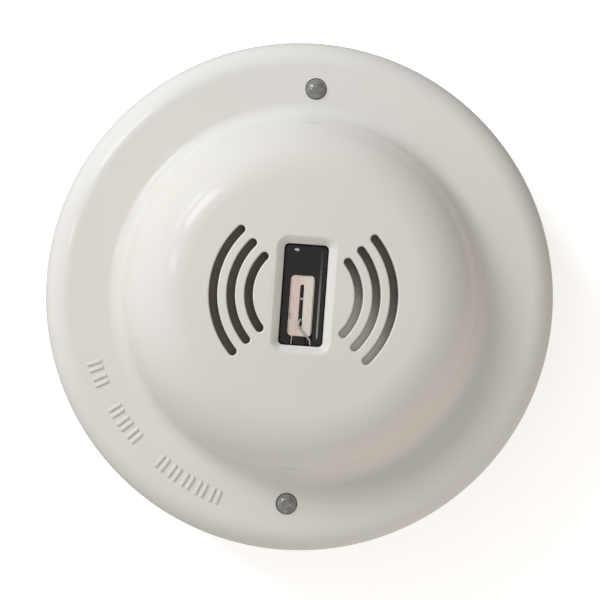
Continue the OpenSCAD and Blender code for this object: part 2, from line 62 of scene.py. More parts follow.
# ---- Camera ----
# The detector lies on its back and is looked at from straight in front of its dome, from a
# hand's width to its lower left, with its upper lamp turned a few degrees to the right.
mm = 0.001
cover_low, cover_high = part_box("cover")
head_r = cover_high.x
rim_z = cover_low.z + 6.6 * mm
view_distance = 400 * mm
roll = math.radians(4.1)
head_share_of_width = 0.8457
up = Vector((-math.sin(roll), math.cos(roll), 0))
right = Vector((math.cos(roll), math.sin(roll), 0))
aim = Vector((0, 0, rim_z)) - up * 0.72 * mm - right * 0.08 * mm
lens = bpy.data.cameras.new("camera")
lens.sensor_width = 36
lens.lens = head_share_of_width * lens.sensor_width * view_distance / (2 * head_r)
camera = bpy.data.objects.new("camera", lens)
bpy.context.scene.collection.objects.link(camera)
stand = Vector((-13.6 * mm, -6.6 * mm, rim_z + view_distance))
back = (stand - aim).normalized()
side = up.cross(back).normalized()
turned = Matrix((side, back.cross(side), back)).transposed()
camera.matrix_world = Matrix.Translation(stand) @ turned.to_4x4()
bpy.context.scene.camera = camera


# ---- Floor and light ----
# A plain white table top, a window and a ceiling light to the upper left that light the shapes,
# panes that only show as streaks in the gloss, and a warm room that is darker to the right.
class Wire:
    """A socket that adds Math nodes when it is part of an expression."""

    def __init__(self, shading, socket):
        self.shading, self.socket = shading, socket

    def sum_of(self, operation, first, second):
        return self.shading.node("Math", {"operation": operation}, {0: first, 1: second})

    def __add__(self, other):
        return self.sum_of("ADD", self, other)

    def __sub__(self, other):
        return self.sum_of("SUBTRACT", self, other)

    def __rsub__(self, other):
        return self.sum_of("SUBTRACT", other, self)

    def __mul__(self, other):
        return self.sum_of("MULTIPLY", self, other)

    def __gt__(self, other):
        return self.sum_of("GREATER_THAN", self, other)

    def __lt__(self, other):
        return self.sum_of("LESS_THAN", self, other)

    __radd__, __rmul__ = __add__, __mul__


class Shading:
    """Adds nodes to a node tree, and hands their outputs back as wires."""

    def __init__(self, tree):
        self.tree = tree

    def node(self, kind, settings={}, inputs={}, output=0):
        made = self.tree.nodes.new("ShaderNode" + kind)
        for name, value in settings.items():
            if name == "stops":
                stops = made.color_ramp.elements
                for number, (place, colour) in enumerate(value):
                    stop = stops[number] if number < 2 else stops.new(place)
                    stop.position, stop.color = place, (*colour, 1)
            else:
                setattr(made, name, value)
        for name, value in inputs.items():
            if isinstance(value, Wire):
                self.tree.links.new(value.socket, made.inputs[name])
            else:
                made.inputs[name].default_value = value
        return Wire(self, made.outputs[output])

    def ramp(self, factor, *stops):
        """Colour that follows the factor through (place, colour) stops."""
        return self.node("ValToRGB", {"stops": stops}, {"Fac": factor})

    def between(self, value, low, high):
        """0 below low and 1 above high, with a smooth change between them."""
        limits = {"Value": value, "From Min": low, "From Max": high}
        return self.node("MapRange", {"interpolation_type": "SMOOTHSTEP"}, limits)

    def blend(self, factor, first, second):
        """Colour that goes from first to second as the factor goes from 0 to 1."""
        return self.node("Mix", {"data_type": "RGBA"}, {"Factor": factor, 6: first, 7: second}, 2)


class Finish(Shading):
    """A surface finish: one Principled shader, with the nodes of what varies over the surface."""

    def __init__(self, name, **fixed):
        self.material = bpy.data.materials.new(name)
        self.material.use_nodes = True
        super().__init__(self.material.node_tree)
        self.shader = self.tree.nodes["Principled BSDF"]
        for socket, value in fixed.items():
            self.shader.inputs[socket.replace("_", " ")].default_value = value

    def drive(self, socket, value):
        self.tree.links.new(value.socket, self.shader.inputs[socket])

    def place(self):
        return self.node("TexCoord", output="Object")

    def along(self, axis):
        """Distance along one axis, in metres."""
        return self.node("SeparateXYZ", {}, {"Vector": self.place()}, axis)

    def noise(self, feature, detail=3.0, roughness=0.5, stretch=(1, 1, 1)):
        """Noise of one feature size in metres, from 0 to 1, that may be stretched along an axis."""
        where = self.node("Mapping", {}, {"Vector": self.place(), "Scale": [1 / s for s in stretch]})
        values = {"Vector": where, "Scale": 1 / feature, "Detail": detail, "Roughness": roughness}
        return self.node("TexNoise", {}, values)

    def bump(self, height, depth):
        self.drive("Normal", self.node("Bump", {}, {"Height": height, "Distance": depth}))


def new_piece(name, bm):
    """A mesh object with its place in its mesh; the working mesh is freed."""
    mesh = bpy.data.meshes.new(name)
    bm.to_mesh(mesh)
    bm.free()
    piece = bpy.data.objects.new(name, mesh)
    bpy.context.scene.collection.objects.link(piece)
    return piece


def plain_floor():
    bm = bmesh.new()
    half_width = 2.5
    corners = ((-1, -1), (1, -1), (1, 1), (-1, 1))
    bm.faces.new([bm.verts.new((x * half_width, y * half_width, 0)) for x, y in corners])
    floor = new_piece("floor", bm)
    paint = Finish("white table top", Roughness=0.85, Emission_Strength=0.5, Emission_Color=(1, 1, 1, 1))
    pale, paler = (0.86, 0.86, 0.86), (0.89, 0.89, 0.89)
    paint.drive("Base Color", paint.ramp(paint.noise(0.4), (0, pale), (1, paler)))
    floor.data.materials.append(paint.material)
    floor.visible_diffuse = floor.visible_glossy = False
    floor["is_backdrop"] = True


def soft_light(name, clockwise, elevation, distance, width, height, power, tone=(1, 1, 1),
               diffuse=True, glossy=True):
    """A rectangular light at an angle clockwise from the top of the view and above the floor."""
    light = bpy.data.lights.new(name, "AREA")
    light.shape = "RECTANGLE"
    light.size, light.size_y, light.energy, light.color = width, height, power, tone
    lamp = bpy.data.objects.new(name, light)
    bpy.context.scene.collection.objects.link(lamp)
    turn, lift = math.radians(clockwise), math.radians(elevation)
    level = up * math.cos(turn) + right * math.sin(turn)
    towards = level * math.cos(lift) + Vector((0, 0, math.sin(lift)))
    across = towards.cross(Vector((0, 0, 1))).normalized()
    turned = Matrix((across, towards.cross(across), towards)).transposed()
    lamp.matrix_world = Matrix.Translation(towards * distance) @ turned.to_4x4()
    lamp.visible_diffuse, lamp.visible_glossy = diffuse, glossy


plain_floor()
soft_light("window", 315, 34, 0.6, 0.28, 0.28, 2.66, (0.945, 0.975, 1), glossy=False)
soft_light("ceiling", 315, 66, 0.8, 0.4, 0.4, 0.42, (0.96, 0.98, 1), glossy=False)
soft_light("window in the gloss", 300, 44, 0.9, 0.9, 0.5, 0.25, (1, 0.99, 0.98), diffuse=False)
soft_light("broad pane", 314, 52, 0.9, 0.20, 0.17, 0.45, diffuse=False)
soft_light("lower pane", 309, 37, 0.9, 0.26, 0.03, 0.15, diffuse=False)
soft_light("narrow pane", 287, 55, 0.9, 0.05, 0.17, 0.11, diffuse=False)
soft_light("table bounce", 136, 9, 0.7, 0.6, 0.2, 1.35, (1, 0.94, 0.88), glossy=False)
room = bpy.data.worlds.new("room")
bpy.context.scene.world = room
room.use_nodes = True
air = Shading(room.node_tree)
dark_clockwise = math.radians(55)
dark_side = up * math.cos(dark_clockwise) + right * math.sin(dark_clockwise)
outwards = air.node("TexCoord", output="Generated")
towards = air.node("VectorMath", {"operation": "DOT_PRODUCT"}, {0: outwards, 1: dark_side}, 1)
background = room.node_tree.nodes["Background"]
light_tone, middle_tone, dark_tone = (0.60, 0.57, 0.53), (0.51, 0.485, 0.45), (0.29, 0.267, 0.243)
tone = air.ramp(towards * 0.5 + 0.5, (0, light_tone), (0.5, middle_tone), (1, dark_tone))
room.node_tree.links.new(tone.socket, background.inputs["Color"])
bpy.context.scene.view_settings.view_transform = "Standard"


# ---- Base plate ----
# The ceiling base: one off-white ABS moulding with a spark-eroded satin skin, ribbed on the
# inside, with slotted holes for the ceiling screws and shelves that the head's lugs turn under.
def satin_moulding(name, light_tone, dark_tone, roughness):
    """Moulded plastic with a fine eroded grain and a slow drift of tone."""
    finish = Finish(name)
    drift = finish.noise(24 * mm, 2.0)
    marks = finish.between(finish.noise(5 * mm, 6.0, 0.7), 0.56, 0.75)
    skin = finish.ramp(drift, (0.3, dark_tone), (0.7, light_tone))
    finish.drive("Base Color", finish.blend(marks * 0.35, skin, (*[0.9 * c for c in dark_tone], 1)))
    finish.drive("Roughness", finish.noise(2.5 * mm, 4.0) * 0.18 + marks * 0.08 + (roughness - 0.1))
    finish.bump(finish.noise(0.14 * mm, 3.0, 0.6), 0.018 * mm)
    return finish.material


def keep_shape(piece):
    """Puts what the piece's modifiers make into its plain mesh, and removes them."""
    bpy.context.view_layer.update()
    shaped = piece.evaluated_get(bpy.context.evaluated_depsgraph_get())
    piece.data = bpy.data.meshes.new_from_object(shaped)
    piece.modifiers.clear()


def softened(node, radius, finish, steps=2):
    """Stands for a CAD part: a merged copy of it whose corners have a small radius."""
    bm = bmesh.new()
    bm.from_mesh(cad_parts[node].data)
    bmesh.ops.remove_doubles(bm, verts=bm.verts[:], dist=0.0005 * mm)
    bmesh.ops.dissolve_limit(bm, angle_limit=math.radians(0.4), verts=bm.verts[:], edges=bm.edges[:])
    piece = new_piece(node + "_finished", bm)
    piece.data.polygons.foreach_set("use_smooth", [True] * len(piece.data.polygons))
    rounding = piece.modifiers.new("corner radius", "BEVEL")
    rounding.width, rounding.segments, rounding.limit_method = radius, steps, "ANGLE"
    rounding.angle_limit = math.radians(28)
    rounding.use_clamp_overlap = False
    rounding.miter_outer = "MITER_ARC"
    shading = piece.modifiers.new("even shading", "WEIGHTED_NORMAL")
    shading.keep_sharp = True
    keep_shape(piece)
    piece.data.materials.clear()
    piece.data.materials.append(finish)
    return piece


def fitted(piece, body, slot, *nodes):
    """Fixes a piece to its body and hides the CAD nodes it stands for; the slot, for the finish it takes, is
    not used.
    """
    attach(piece, body)
    if nodes:
        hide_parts(*nodes)


base_plastic = satin_moulding("satin ivory plastic", (0.69, 0.67, 0.62), (0.65, 0.63, 0.575), 0.42)
fitted(softened("base_plate", 0.12 * mm, base_plastic), "base", "base_plastic", "base_plate")


# ---- Contact springs ----
# Four phosphor-bronze strips, blanked and bent. The screw end lies flat on its tower, and the
# leaf is polished where the head's blade wipes over it and tarnished everywhere else.
def sheet_bronze(name, wiped_from, wiped_to):
    finish = Finish(name, Metallic=1.0)
    tarnish = finish.noise(2.2 * mm, 6.0, 0.65)
    brown, bronze, bright = (0.40, 0.21, 0.10), (0.70, 0.44, 0.21), (0.86, 0.62, 0.34)
    metal = finish.ramp(tarnish, (0.3, brown), (0.5, bronze), (0.75, bright))
    wiped = finish.between(finish.along(2), wiped_from, wiped_to)
    finish.drive("Base Color", finish.blend(wiped * 0.8, metal, (0.92, 0.74, 0.46, 1)))
    finish.drive("Roughness", 0.46 - tarnish * 0.2 - wiped * 0.12)
    finish.bump(finish.noise(0.09 * mm, 2.0, 0.5, (1, 1, 14)) + tarnish * 0.5, 0.01 * mm)
    return finish.material


leaf_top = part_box("contact_spring_1")[1].z
spring_bronze = sheet_bronze("rolled bronze, wiped crest", leaf_top - 0.6 * mm, leaf_top - 0.2 * mm)
for number in range(1, 5):
    node = f"contact_spring_{number}"
    fitted(softened(node, 0.05 * mm, spring_bronze), "base", "contact_bronze", node)


# ---- Clamp washers ----
# Square washers, stamped from steel strip and given a bright zinc plate. Each lies under its
# terminal screw and holds the wire down on the contact.
def zinc_plate(name):
    """Bright zinc on steel: bluish with yellow patches."""
    finish = Finish(name, Metallic=1.0)
    cloud = finish.noise(1.6 * mm, 5.0, 0.6)
    dull, cool, warm = (0.42, 0.43, 0.44), (0.62, 0.64, 0.66), (0.70, 0.66, 0.56)
    finish.drive("Base Color", finish.ramp(cloud, (0.25, dull), (0.45, cool), (0.72, warm)))
    finish.drive("Roughness", cloud * 0.22 + 0.2)
    finish.bump(finish.noise(0.12 * mm, 3.0, 0.6), 0.006 * mm)
    return finish.material


zinc_steel = zinc_plate("bright zinc")
fitted(softened("clamp_washers", 0.08 * mm, zinc_steel), "base", "zinc_steel", "clamp_washers")


# ---- Terminal screws ----
# Four M3 pan-head screws, cold-headed and thread-rolled, with a cross recess that the driver
# has marked. They stand in the towers through the washers.
def swept_round(outline, segments):
    """A solid turned round the upright axis from (radius, height) points, axis to axis, top first."""
    bm = bmesh.new()
    turns = [math.tau * k / segments for k in range(segments)]
    rows = []
    for r, z in outline:
        count = 1 if r == 0 else segments
        rows.append([bm.verts.new((r * math.cos(a), r * math.sin(a), z)) for a in turns[:count]])
    for upper, lower in zip(rows[:-1], rows[1:]):
        for k in range(segments):
            n = (k + 1) % segments
            ring = [upper[k % len(upper)], lower[k % len(lower)]]
            ring += [lower[n % len(lower)], upper[n % len(upper)]]
            corners = [v for i, v in enumerate(ring) if v not in ring[:i]]
            if len(corners) > 2:
                bm.faces.new(corners)
    bmesh.ops.recalc_face_normals(bm, faces=bm.faces[:])
    return bm


def lofted(outline, levels, over=None):
    """A closed solid through the outline at each (height, growth) level, lowest first."""
    bm = bmesh.new()
    rings = []
    for number, (height, growth) in enumerate(levels):
        follow = over if over and 0 < number < len(levels) - 1 else lambda x, y: over(0, 0) if over else 0
        rings.append([bm.verts.new((x, y, height + follow(x, y))) for x, y in outline(growth)])
    count = len(rings[0])
    for low, high in zip(rings[:-1], rings[1:]):
        for k in range(count):
            n = (k + 1) % count
            bm.faces.new((low[k], low[n], high[n], high[k]))
    bm.faces.new(rings[0][::-1])
    bm.faces.new(rings[-1])
    bmesh.ops.recalc_face_normals(bm, faces=bm.faces[:])
    return bm


def cut(piece, cutters):
    """Cuts the cutters out of the piece, one after another, and removes them."""
    for cutter in cutters:
        step = piece.modifiers.new("cut", "BOOLEAN")
        step.object, step.solver, step.operation = cutter, "EXACT", "DIFFERENCE"
    keep_shape(piece)
    for cutter in cutters:
        bpy.data.objects.remove(cutter)


def smooth_by_angle(piece, degrees, *finishes):
    """Smooths a piece except at edges sharper than an angle, and gives it its finishes."""
    piece.data.polygons.foreach_set("use_smooth", [True] * len(piece.data.polygons))
    piece.data.set_sharp_from_angle(angle=math.radians(degrees))
    for finish in finishes:
        piece.data.materials.append(finish)


def cross_recess(reach):
    """Outline of a driver's cross, grown by a distance all round."""
    def outline(growth):
        half, end = reach * 0.2 + growth, reach + growth
        tip, shoulder = half * 0.4, end - half * 0.6
        quarter = [(half, half), (half, shoulder), (tip, end), (-tip, end), (-half, shoulder)]
        points = []
        for c, s in ((1, 0), (0, 1), (-1, 0), (0, -1)):
            points += [(x * c - y * s, x * s + y * c) for x, y in quarter]
        return points
    return outline


def pan_head_screw(name, shank_r, length, screw_head_r, head_h, pitch, points_up=False):
    """A screw whose head sits on z = 0, with a rolled thread below it."""
    outline = [(0, head_h)]
    for i in range(1, 9):
        a = math.radians(90 * i / 8)
        r = screw_head_r * (0.55 * i / 8 + 0.45 * math.sin(a))
        outline.append((r, head_h * (0.42 + 0.58 * math.cos(a))))
    outline += [(screw_head_r, 0.06 * head_h), (screw_head_r * 0.97, 0), (shank_r, 0)]
    crest, root = shank_r, shank_r - 0.3 * pitch
    for turn in range(int((length - 0.6 * mm) / pitch)):
        z = -turn * pitch
        for r, share in ((crest, 0.1), (root, 0.45), (root, 0.6), (crest, 0.95)):
            outline.append((r, z - share * pitch))
    outline += [(root, -length + 0.3 * mm), (root * 0.7, -length), (0, -length)]
    screw = new_piece(name, swept_round(outline, 40))
    reach = screw_head_r * 0.56
    levels = [(head_h * 0.25, -reach * 0.13), (head_h * 0.95, 0.0), (head_h * 1.4, reach * 0.05)]
    cut(screw, [new_piece("cross", lofted(cross_recess(reach), levels))])
    if points_up:
        screw.data.transform(Matrix.Rotation(math.pi, 4, "X"))
    smooth_by_angle(screw, 34)
    return screw


def points_tree(name, sizes, shape):
    """Sets a shape on every point, turned about the upright axis by the point's own turn."""
    tree = bpy.data.node_groups.new(name, "GeometryNodeTree")
    for socket, kind in (("Points", "Geometry"), *sizes, ("Finish", "Material")):
        tree.interface.new_socket(socket, in_out="INPUT", socket_type="NodeSocket" + kind)
    tree.interface.new_socket("Copies", in_out="OUTPUT", socket_type="NodeSocketGeometry")
    add, link = tree.nodes.new, tree.links.new
    given, made = add("NodeGroupInput"), add("NodeGroupOutput")
    turn, upright = add("GeometryNodeInputNamedAttribute"), add("ShaderNodeCombineXYZ")
    turned, copies = add("FunctionNodeEulerToRotation"), add("GeometryNodeInstanceOnPoints")
    real, coat = add("GeometryNodeRealizeInstances"), add("GeometryNodeSetMaterial")
    turn.data_type = "FLOAT"
    turn.inputs["Name"].default_value = "turn"
    shape(add, link, given.outputs, copies.inputs)
    link(turn.outputs["Attribute"], upright.inputs["Z"])
    link(upright.outputs["Vector"], turned.inputs["Euler"])
    link(turned.outputs["Rotation"], copies.inputs["Rotation"])
    link(given.outputs["Points"], copies.inputs["Points"])
    link(copies.outputs["Instances"], real.inputs["Geometry"])
    link(real.outputs["Geometry"], coat.inputs["Geometry"])
    link(given.outputs["Finish"], coat.inputs["Material"])
    link(coat.outputs["Geometry"], made.inputs["Copies"])
    return tree


def part_shape(add, link, given, copy):
    """The shape is a part that is handed in, at the size that is asked for."""
    part = add("GeometryNodeObjectInfo")
    link(given["Part"], part.inputs["Object"])
    link(part.outputs["Geometry"], copy["Instance"])
    link(given["Size"], copy["Scale"])


def run_tree(name, tree, points, turns, **values):
    """Runs a tree on points, each with its own turn, and keeps the result as a plain mesh."""
    mesh = bpy.data.meshes.new(name)
    mesh.from_pydata(points, [], [])
    mesh.attributes.new("turn", "FLOAT", "POINT").data.foreach_set("value", turns)
    piece = bpy.data.objects.new(name, mesh)
    bpy.context.scene.collection.objects.link(piece)
    maker = piece.modifiers.new("maker", "NODES")
    maker.node_group = tree
    for socket in tree.interface.items_tree:
        if socket.in_out == "INPUT" and socket.name in values:
            maker[socket.identifier] = values[socket.name]
    keep_shape(piece)
    if "turn" in piece.data.attributes:
        piece.data.attributes.remove(piece.data.attributes["turn"])
    return piece


def on_circle(angles, radius, z, shift=0.0):
    """Points on a circle, each moved sideways by the same shift, and their turns."""
    turns = [math.radians(a) for a in angles]
    points = []
    for c, s in ((math.cos(a), math.sin(a)) for a in turns):
        points.append((radius * c - shift * s, radius * s + shift * c, z))
    return points, turns


def screw_set(screw, body, node, angles, radius, z, driven_to, shift=0.0):
    """Stands for a CAD set of screws on a circle, each driven to its own angle."""
    points, turns = on_circle(angles, radius, z, shift)
    turns = [turn + stop for turn, stop in zip(turns, driven_to)]
    name = screw.name + "_set"
    screws = run_tree(name, copies, points, turns, Part=screw, Size=1.0, Finish=zinc_steel)
    bpy.data.objects.remove(screw)
    fitted(screws, body, "zinc_steel", node)


copies = points_tree("copies on points", (("Part", "Object"), ("Size", "Float")), part_shape)
terminal_angles = (45, 135, 225, 315)
terminal_r, screw_offset = 31 * mm, -6 * mm
terminal_head_z = 6.35 * mm
screw = pan_head_screw("terminal_screw", 1.5 * mm, 4.6 * mm, 2.7 * mm, 1.9 * mm, 0.5 * mm)
driven_to = (0.3, 1.1, 0.7, 0.1)
screw_set(screw, "base", "terminal_screws", terminal_angles, terminal_r, terminal_head_z,
          driven_to, screw_offset)


# ---- Lock lever ----
# A small ABS lever on a moulded pin inside the base's wall. A tool through the wall's opening
# swings it, and its tooth then lets the head turn.
fitted(softened("lock_lever", 0.1 * mm, base_plastic), "lever", "base_plastic", "lock_lever")


# ---- Rear housing ----
# The back of the head: a greyer ABS moulding with the bayonet ring and its three lugs. Its posts
# carry the board, and the cover's screws come through it from behind.
grey, dark_grey = (0.62, 0.61, 0.58), (0.56, 0.55, 0.52)
housing_plastic = satin_moulding("satin grey-white plastic", grey, dark_grey, 0.5)
fitted(softened("rear_housing", 0.12 * mm, housing_plastic), "head", "housing_plastic", "rear_housing")


# ---- Cover screws ----
# Three zinc-plated self-tapping screws with a coarse thread. They come from behind, through the
# rear housing into the cover's bosses, and hold the head together.
boss_angles = (0, 120, 240)
post_r = 37 * mm
cover_screw_z = 12.55 * mm
screw = pan_head_screw("cover_screw", 1.2 * mm, 7.5 * mm, 2.6 * mm, 1.8 * mm, 0.9 * mm, points_up=True)
screw_set(screw, "head", "cover_screws", boss_angles, post_r, cover_screw_z, (0.4, 0.4, 0.4))


# ---- Dust seal ----
# A soft black rubber ring, moulded in one piece and dusty on its outside. It is squeezed
# between the rear housing and the cover.
rubber = Finish("black seal rubber")
dust = rubber.between(rubber.noise(4 * mm, 6.0, 0.7), 0.45, 0.7)
rubber.drive("Base Color", rubber.blend(dust * 0.5, (0.02, 0.02, 0.021, 1), (0.10, 0.095, 0.09, 1)))
rubber.drive("Roughness", dust * 0.15 + 0.72)
rubber.bump(rubber.noise(0.2 * mm, 3.0, 0.6), 0.03 * mm)
fitted(softened("dust_seal", 0.3 * mm, rubber.material, 3), "head", "seal_rubber", "dust_seal")


# ---- Contact blades ----
# Four bronze blades, blanked, bent and soldered to the board. As the head turns, the polished
# shoe of each one wipes over a leaf of the base.
shoe_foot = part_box("contact_blade_1")[0].z
blade_bronze = sheet_bronze("rolled bronze, wiped shoe", shoe_foot + 1.2 * mm, shoe_foot + 0.4 * mm)
for number in range(1, 5):
    node = f"contact_blade_{number}"
    fitted(softened(node, 0.1 * mm, blade_bronze, 3), "head", "contact_bronze", node)


# ---- Circuit board ----
# A round glass-fibre board 1.6 mm thick under green solder mask. Copper tracks show through the
# mask as paler lines, tinned vias are dotted over it, and its cut edge is bare laminate.
laminate = Finish("green masked laminate")
place = laminate.place()
tracks = []
shift = (0.0003, 0.0007, 0)
for turn, wide, tall, cut_off in ((0, 9, 1.9, 0.5), (math.pi / 2, 12, 2.3, 0.53)):
    mapping = {"Vector": place, "Rotation": (0, 0, turn), "Location": shift}
    turned_place = laminate.node("Mapping", {}, mapping)
    sizes = {"Scale": 1.0, "Mortar Size": 0.2 * mm, "Mortar Smooth": 0.1}
    sizes.update({"Brick Width": wide * mm, "Row Height": tall * mm})
    lines = laminate.node("TexBrick", {"offset": 0.37, "squash": 1.4}, {"Vector": turned_place, **sizes}, 1)
    tracks.append(lines * (laminate.noise(13 * mm * (1 + turn / 9), 1.0) > cut_off))
copper = laminate.node("Math", {"operation": "MAXIMUM"}, {0: tracks[0], 1: tracks[1]})
spread = {"Vector": place, "Scale": 1 / (4.5 * mm), "Randomness": 0.8}
cells = laminate.node("TexVoronoi", {"voronoi_dimensions": "2D"}, spread)
via = (cells < 0.1) * (cells > 0.045)
dark_green, green = (0.006, 0.075, 0.030), (0.010, 0.110, 0.045)
mask = laminate.ramp(laminate.noise(11 * mm, 3.0), (0.3, dark_green), (0.7, green))
upright = laminate.node("SeparateXYZ", {}, {0: laminate.node("TexCoord", output="Normal")}, 2)
face_up = laminate.node("Math", {"operation": "ABSOLUTE"}, {0: upright})
on_face = face_up > 0.5
printed = laminate.blend(copper * 0.75, mask, (0.030, 0.24, 0.085, 1))
printed = laminate.blend(via, printed, (0.72, 0.71, 0.68, 1))
laminate.drive("Base Color", laminate.blend(on_face, (0.42, 0.40, 0.22, 1), printed))
laminate.drive("Metallic", via * on_face)
laminate.drive("Roughness", laminate.noise(3 * mm, 4.0) * 0.15 + 0.62 - on_face * 0.35)
laminate.bump(copper * 0.5 + laminate.noise(0.7 * mm, 2.0) * 0.3, 0.03 * mm)
board = softened("circuit_board", 0.05 * mm, laminate.material, 1)
fitted(board, "head", "board_laminate", "circuit_board")

board_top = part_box("circuit_board")[1].z


# ---- Solder pads ----
# Tinned copper lands etched on the board under the parts' leads. Each carries a low mound of
# solder that melted on it and set.
def dull_tin(name, tone):
    finish = Finish(name, Metallic=1.0)
    grain = finish.noise(0.35 * mm, 5.0, 0.6)
    finish.drive("Base Color", finish.ramp(grain, (0.3, tuple(0.7 * c for c in tone)), (0.7, tone)))
    finish.drive("Roughness", grain * 0.25 + 0.2)
    finish.bump(finish.noise(0.1 * mm, 2.0), 0.008 * mm)
    return finish.material


def lead_places(x, y, turn, pitch, count, out):
    """Places of two rows of leads round a part's centre."""
    c, s = math.cos(turn), math.sin(turn)
    along = [pitch * (i - (count - 1) / 2) for i in range(count)]
    return [(x + a * c - row * out * s, y + a * s + row * out * c) for a in along for row in (-1, 1)]


def mound(name, length, width, height):
    """A low pillow of solder, half as long again as it is wide."""
    bm = bmesh.new()
    bmesh.ops.create_uvsphere(bm, u_segments=16, v_segments=8, radius=1.0)
    for v in bm.verts:
        square = max(abs(v.co.x), abs(v.co.y), 1e-9) / max(math.hypot(v.co.x, v.co.y), 1e-9)
        grow = 1 + (1 / square - 1) * 0.7
        v.co = Vector((v.co.x * grow * length / 2, v.co.y * grow * width / 2, v.co.z * height))
    land = new_piece(name, bm)
    land.data.polygons.foreach_set("use_smooth", [True] * len(land.data.polygons))
    return land


solder = dull_tin("solder", (0.66, 0.66, 0.65))
chip_leads = lead_places(17 * mm, 12 * mm, math.pi / 2, 1.125 * mm, 8, 3.5 * mm)
chip_leads += lead_places(-17 * mm, -12 * mm, math.pi / 2, 1.25 * mm, 4, 2.5 * mm)
bridge_leads = lead_places(-18 * mm, 12 * mm, 0, 3.5 * mm, 2, 3.5 * mm)
chip_rows = []
for y, first in ((-29.5, 0), (-32.7, 1)):
    chip_rows += [((-12.5 + 5 * i) * mm, y * mm) for i in range(first, 6)]
chip_ends = [(x + end * 1.15 * mm, y) for x, y in chip_rows for end in (-1, 1)]
pad_sets = ((chip_leads, 0.0, 0.7), (bridge_leads, math.pi / 2, 1.6), (chip_ends, math.pi / 2, 1.0))
for number, (places, turn, size) in enumerate(pad_sets, 1):
    land = mound("land", 1.7 * mm, 0.85 * mm, 0.10 * mm)
    points = [(x, y, board_top) for x, y in places]
    pads = run_tree(f"solder_pads_{number}", copies, points, [turn] * len(points),
                    Part=land, Size=size, Finish=solder)
    bpy.data.objects.remove(land)
    fitted(pads, "head", "tinned_wire")


# ---- Board screws ----
# Three small zinc-plated screws. They hold the board on the rear housing's posts, which stand
# midway between the cover's bosses.
post_angles = (60, 180, 300)
screw = pan_head_screw("board_screw", 0.95 * mm, 4.5 * mm, 2 * mm, 1.4 * mm, 0.6 * mm)
screw_set(screw, "head", "board_screws", post_angles, post_r, board_top + 0.05 * mm, (0.9, 0.9, 0.9))


# ---- Chips ----
# Black epoxy packages with tinned gull-wing leads: a controller, a regulator and a bridge. The
# mould leaves them matt, with a faint sparkle of filler.
epoxy = Finish("black epoxy", Specular_IOR_Level=0.4)
filler = epoxy.noise(0.12 * mm, 4.0, 0.7)
epoxy.drive("Base Color", epoxy.ramp(filler, (0.3, (0.012, 0.012, 0.013)), (0.75, (0.035, 0.035, 0.037))))
epoxy.drive("Roughness", filler * 0.2 + 0.45)
epoxy.bump(filler, 0.01 * mm)
lead_tin = dull_tin("tinned leads", (0.74, 0.74, 0.72))


def second_finish(piece, finish, is_on):
    """Gives a piece one more finish, on the faces that is_on picks."""
    piece.data.materials.append(finish)
    for face in piece.data.polygons:
        face.material_index = int(is_on(face))


def chip_package(node, centre, half_x, half_y):
    """A package with epoxy on its body and tin on the leads that stand out of it."""
    piece = softened(node, 0.06 * mm, epoxy.material)
    room = 0.05 * mm

    def is_lead(face):
        off = face.center - Vector((centre[0], centre[1], 0))
        return abs(off.x) > half_x + room or abs(off.y) > half_y + room

    second_finish(piece, lead_tin, is_lead)
    fitted(piece, "head", "chip_plastic", node)


chip_package("microcontroller", (17 * mm, 12 * mm), 3 * mm, 4.5 * mm)
chip_package("voltage_regulator", (-17 * mm, -12 * mm), 2 * mm, 2.5 * mm)
chip_package("bridge_rectifier", (-18 * mm, 12 * mm), 3.5 * mm, 3 * mm)


# ---- Capacitors ----
# Two radial cans in shrunk dark-blue sleeves. The bare aluminium top has a scored vent, and a
# groove is rolled round the can above its bung.
sleeve = Finish("dark blue sleeve", Coat_Weight=0.4, Coat_Roughness=0.1)
navy, deep_blue = (0.008, 0.014, 0.045), (0.014, 0.022, 0.070)
sleeve.drive("Base Color", sleeve.ramp(sleeve.noise(3 * mm), (0.3, navy), (0.7, deep_blue)))
sleeve.drive("Roughness", sleeve.noise(1.2 * mm, 4.0) * 0.15 + 0.28)
sleeve.bump(sleeve.noise(1.4 * mm, 2.0), 0.03 * mm)
can_top = Finish("bare aluminium", Metallic=1.0)
grey, silver = (0.62, 0.63, 0.64), (0.78, 0.78, 0.79)
can_top.drive("Base Color", can_top.ramp(can_top.noise(0.8 * mm, 4.0), (0.3, grey), (0.7, silver)))
can_top.drive("Roughness", can_top.noise(0.5 * mm, 4.0) * 0.2 + 0.25)
can_top.bump(can_top.noise(0.08 * mm, 2.0, 0.5, (8, 1, 1)), 0.006 * mm)


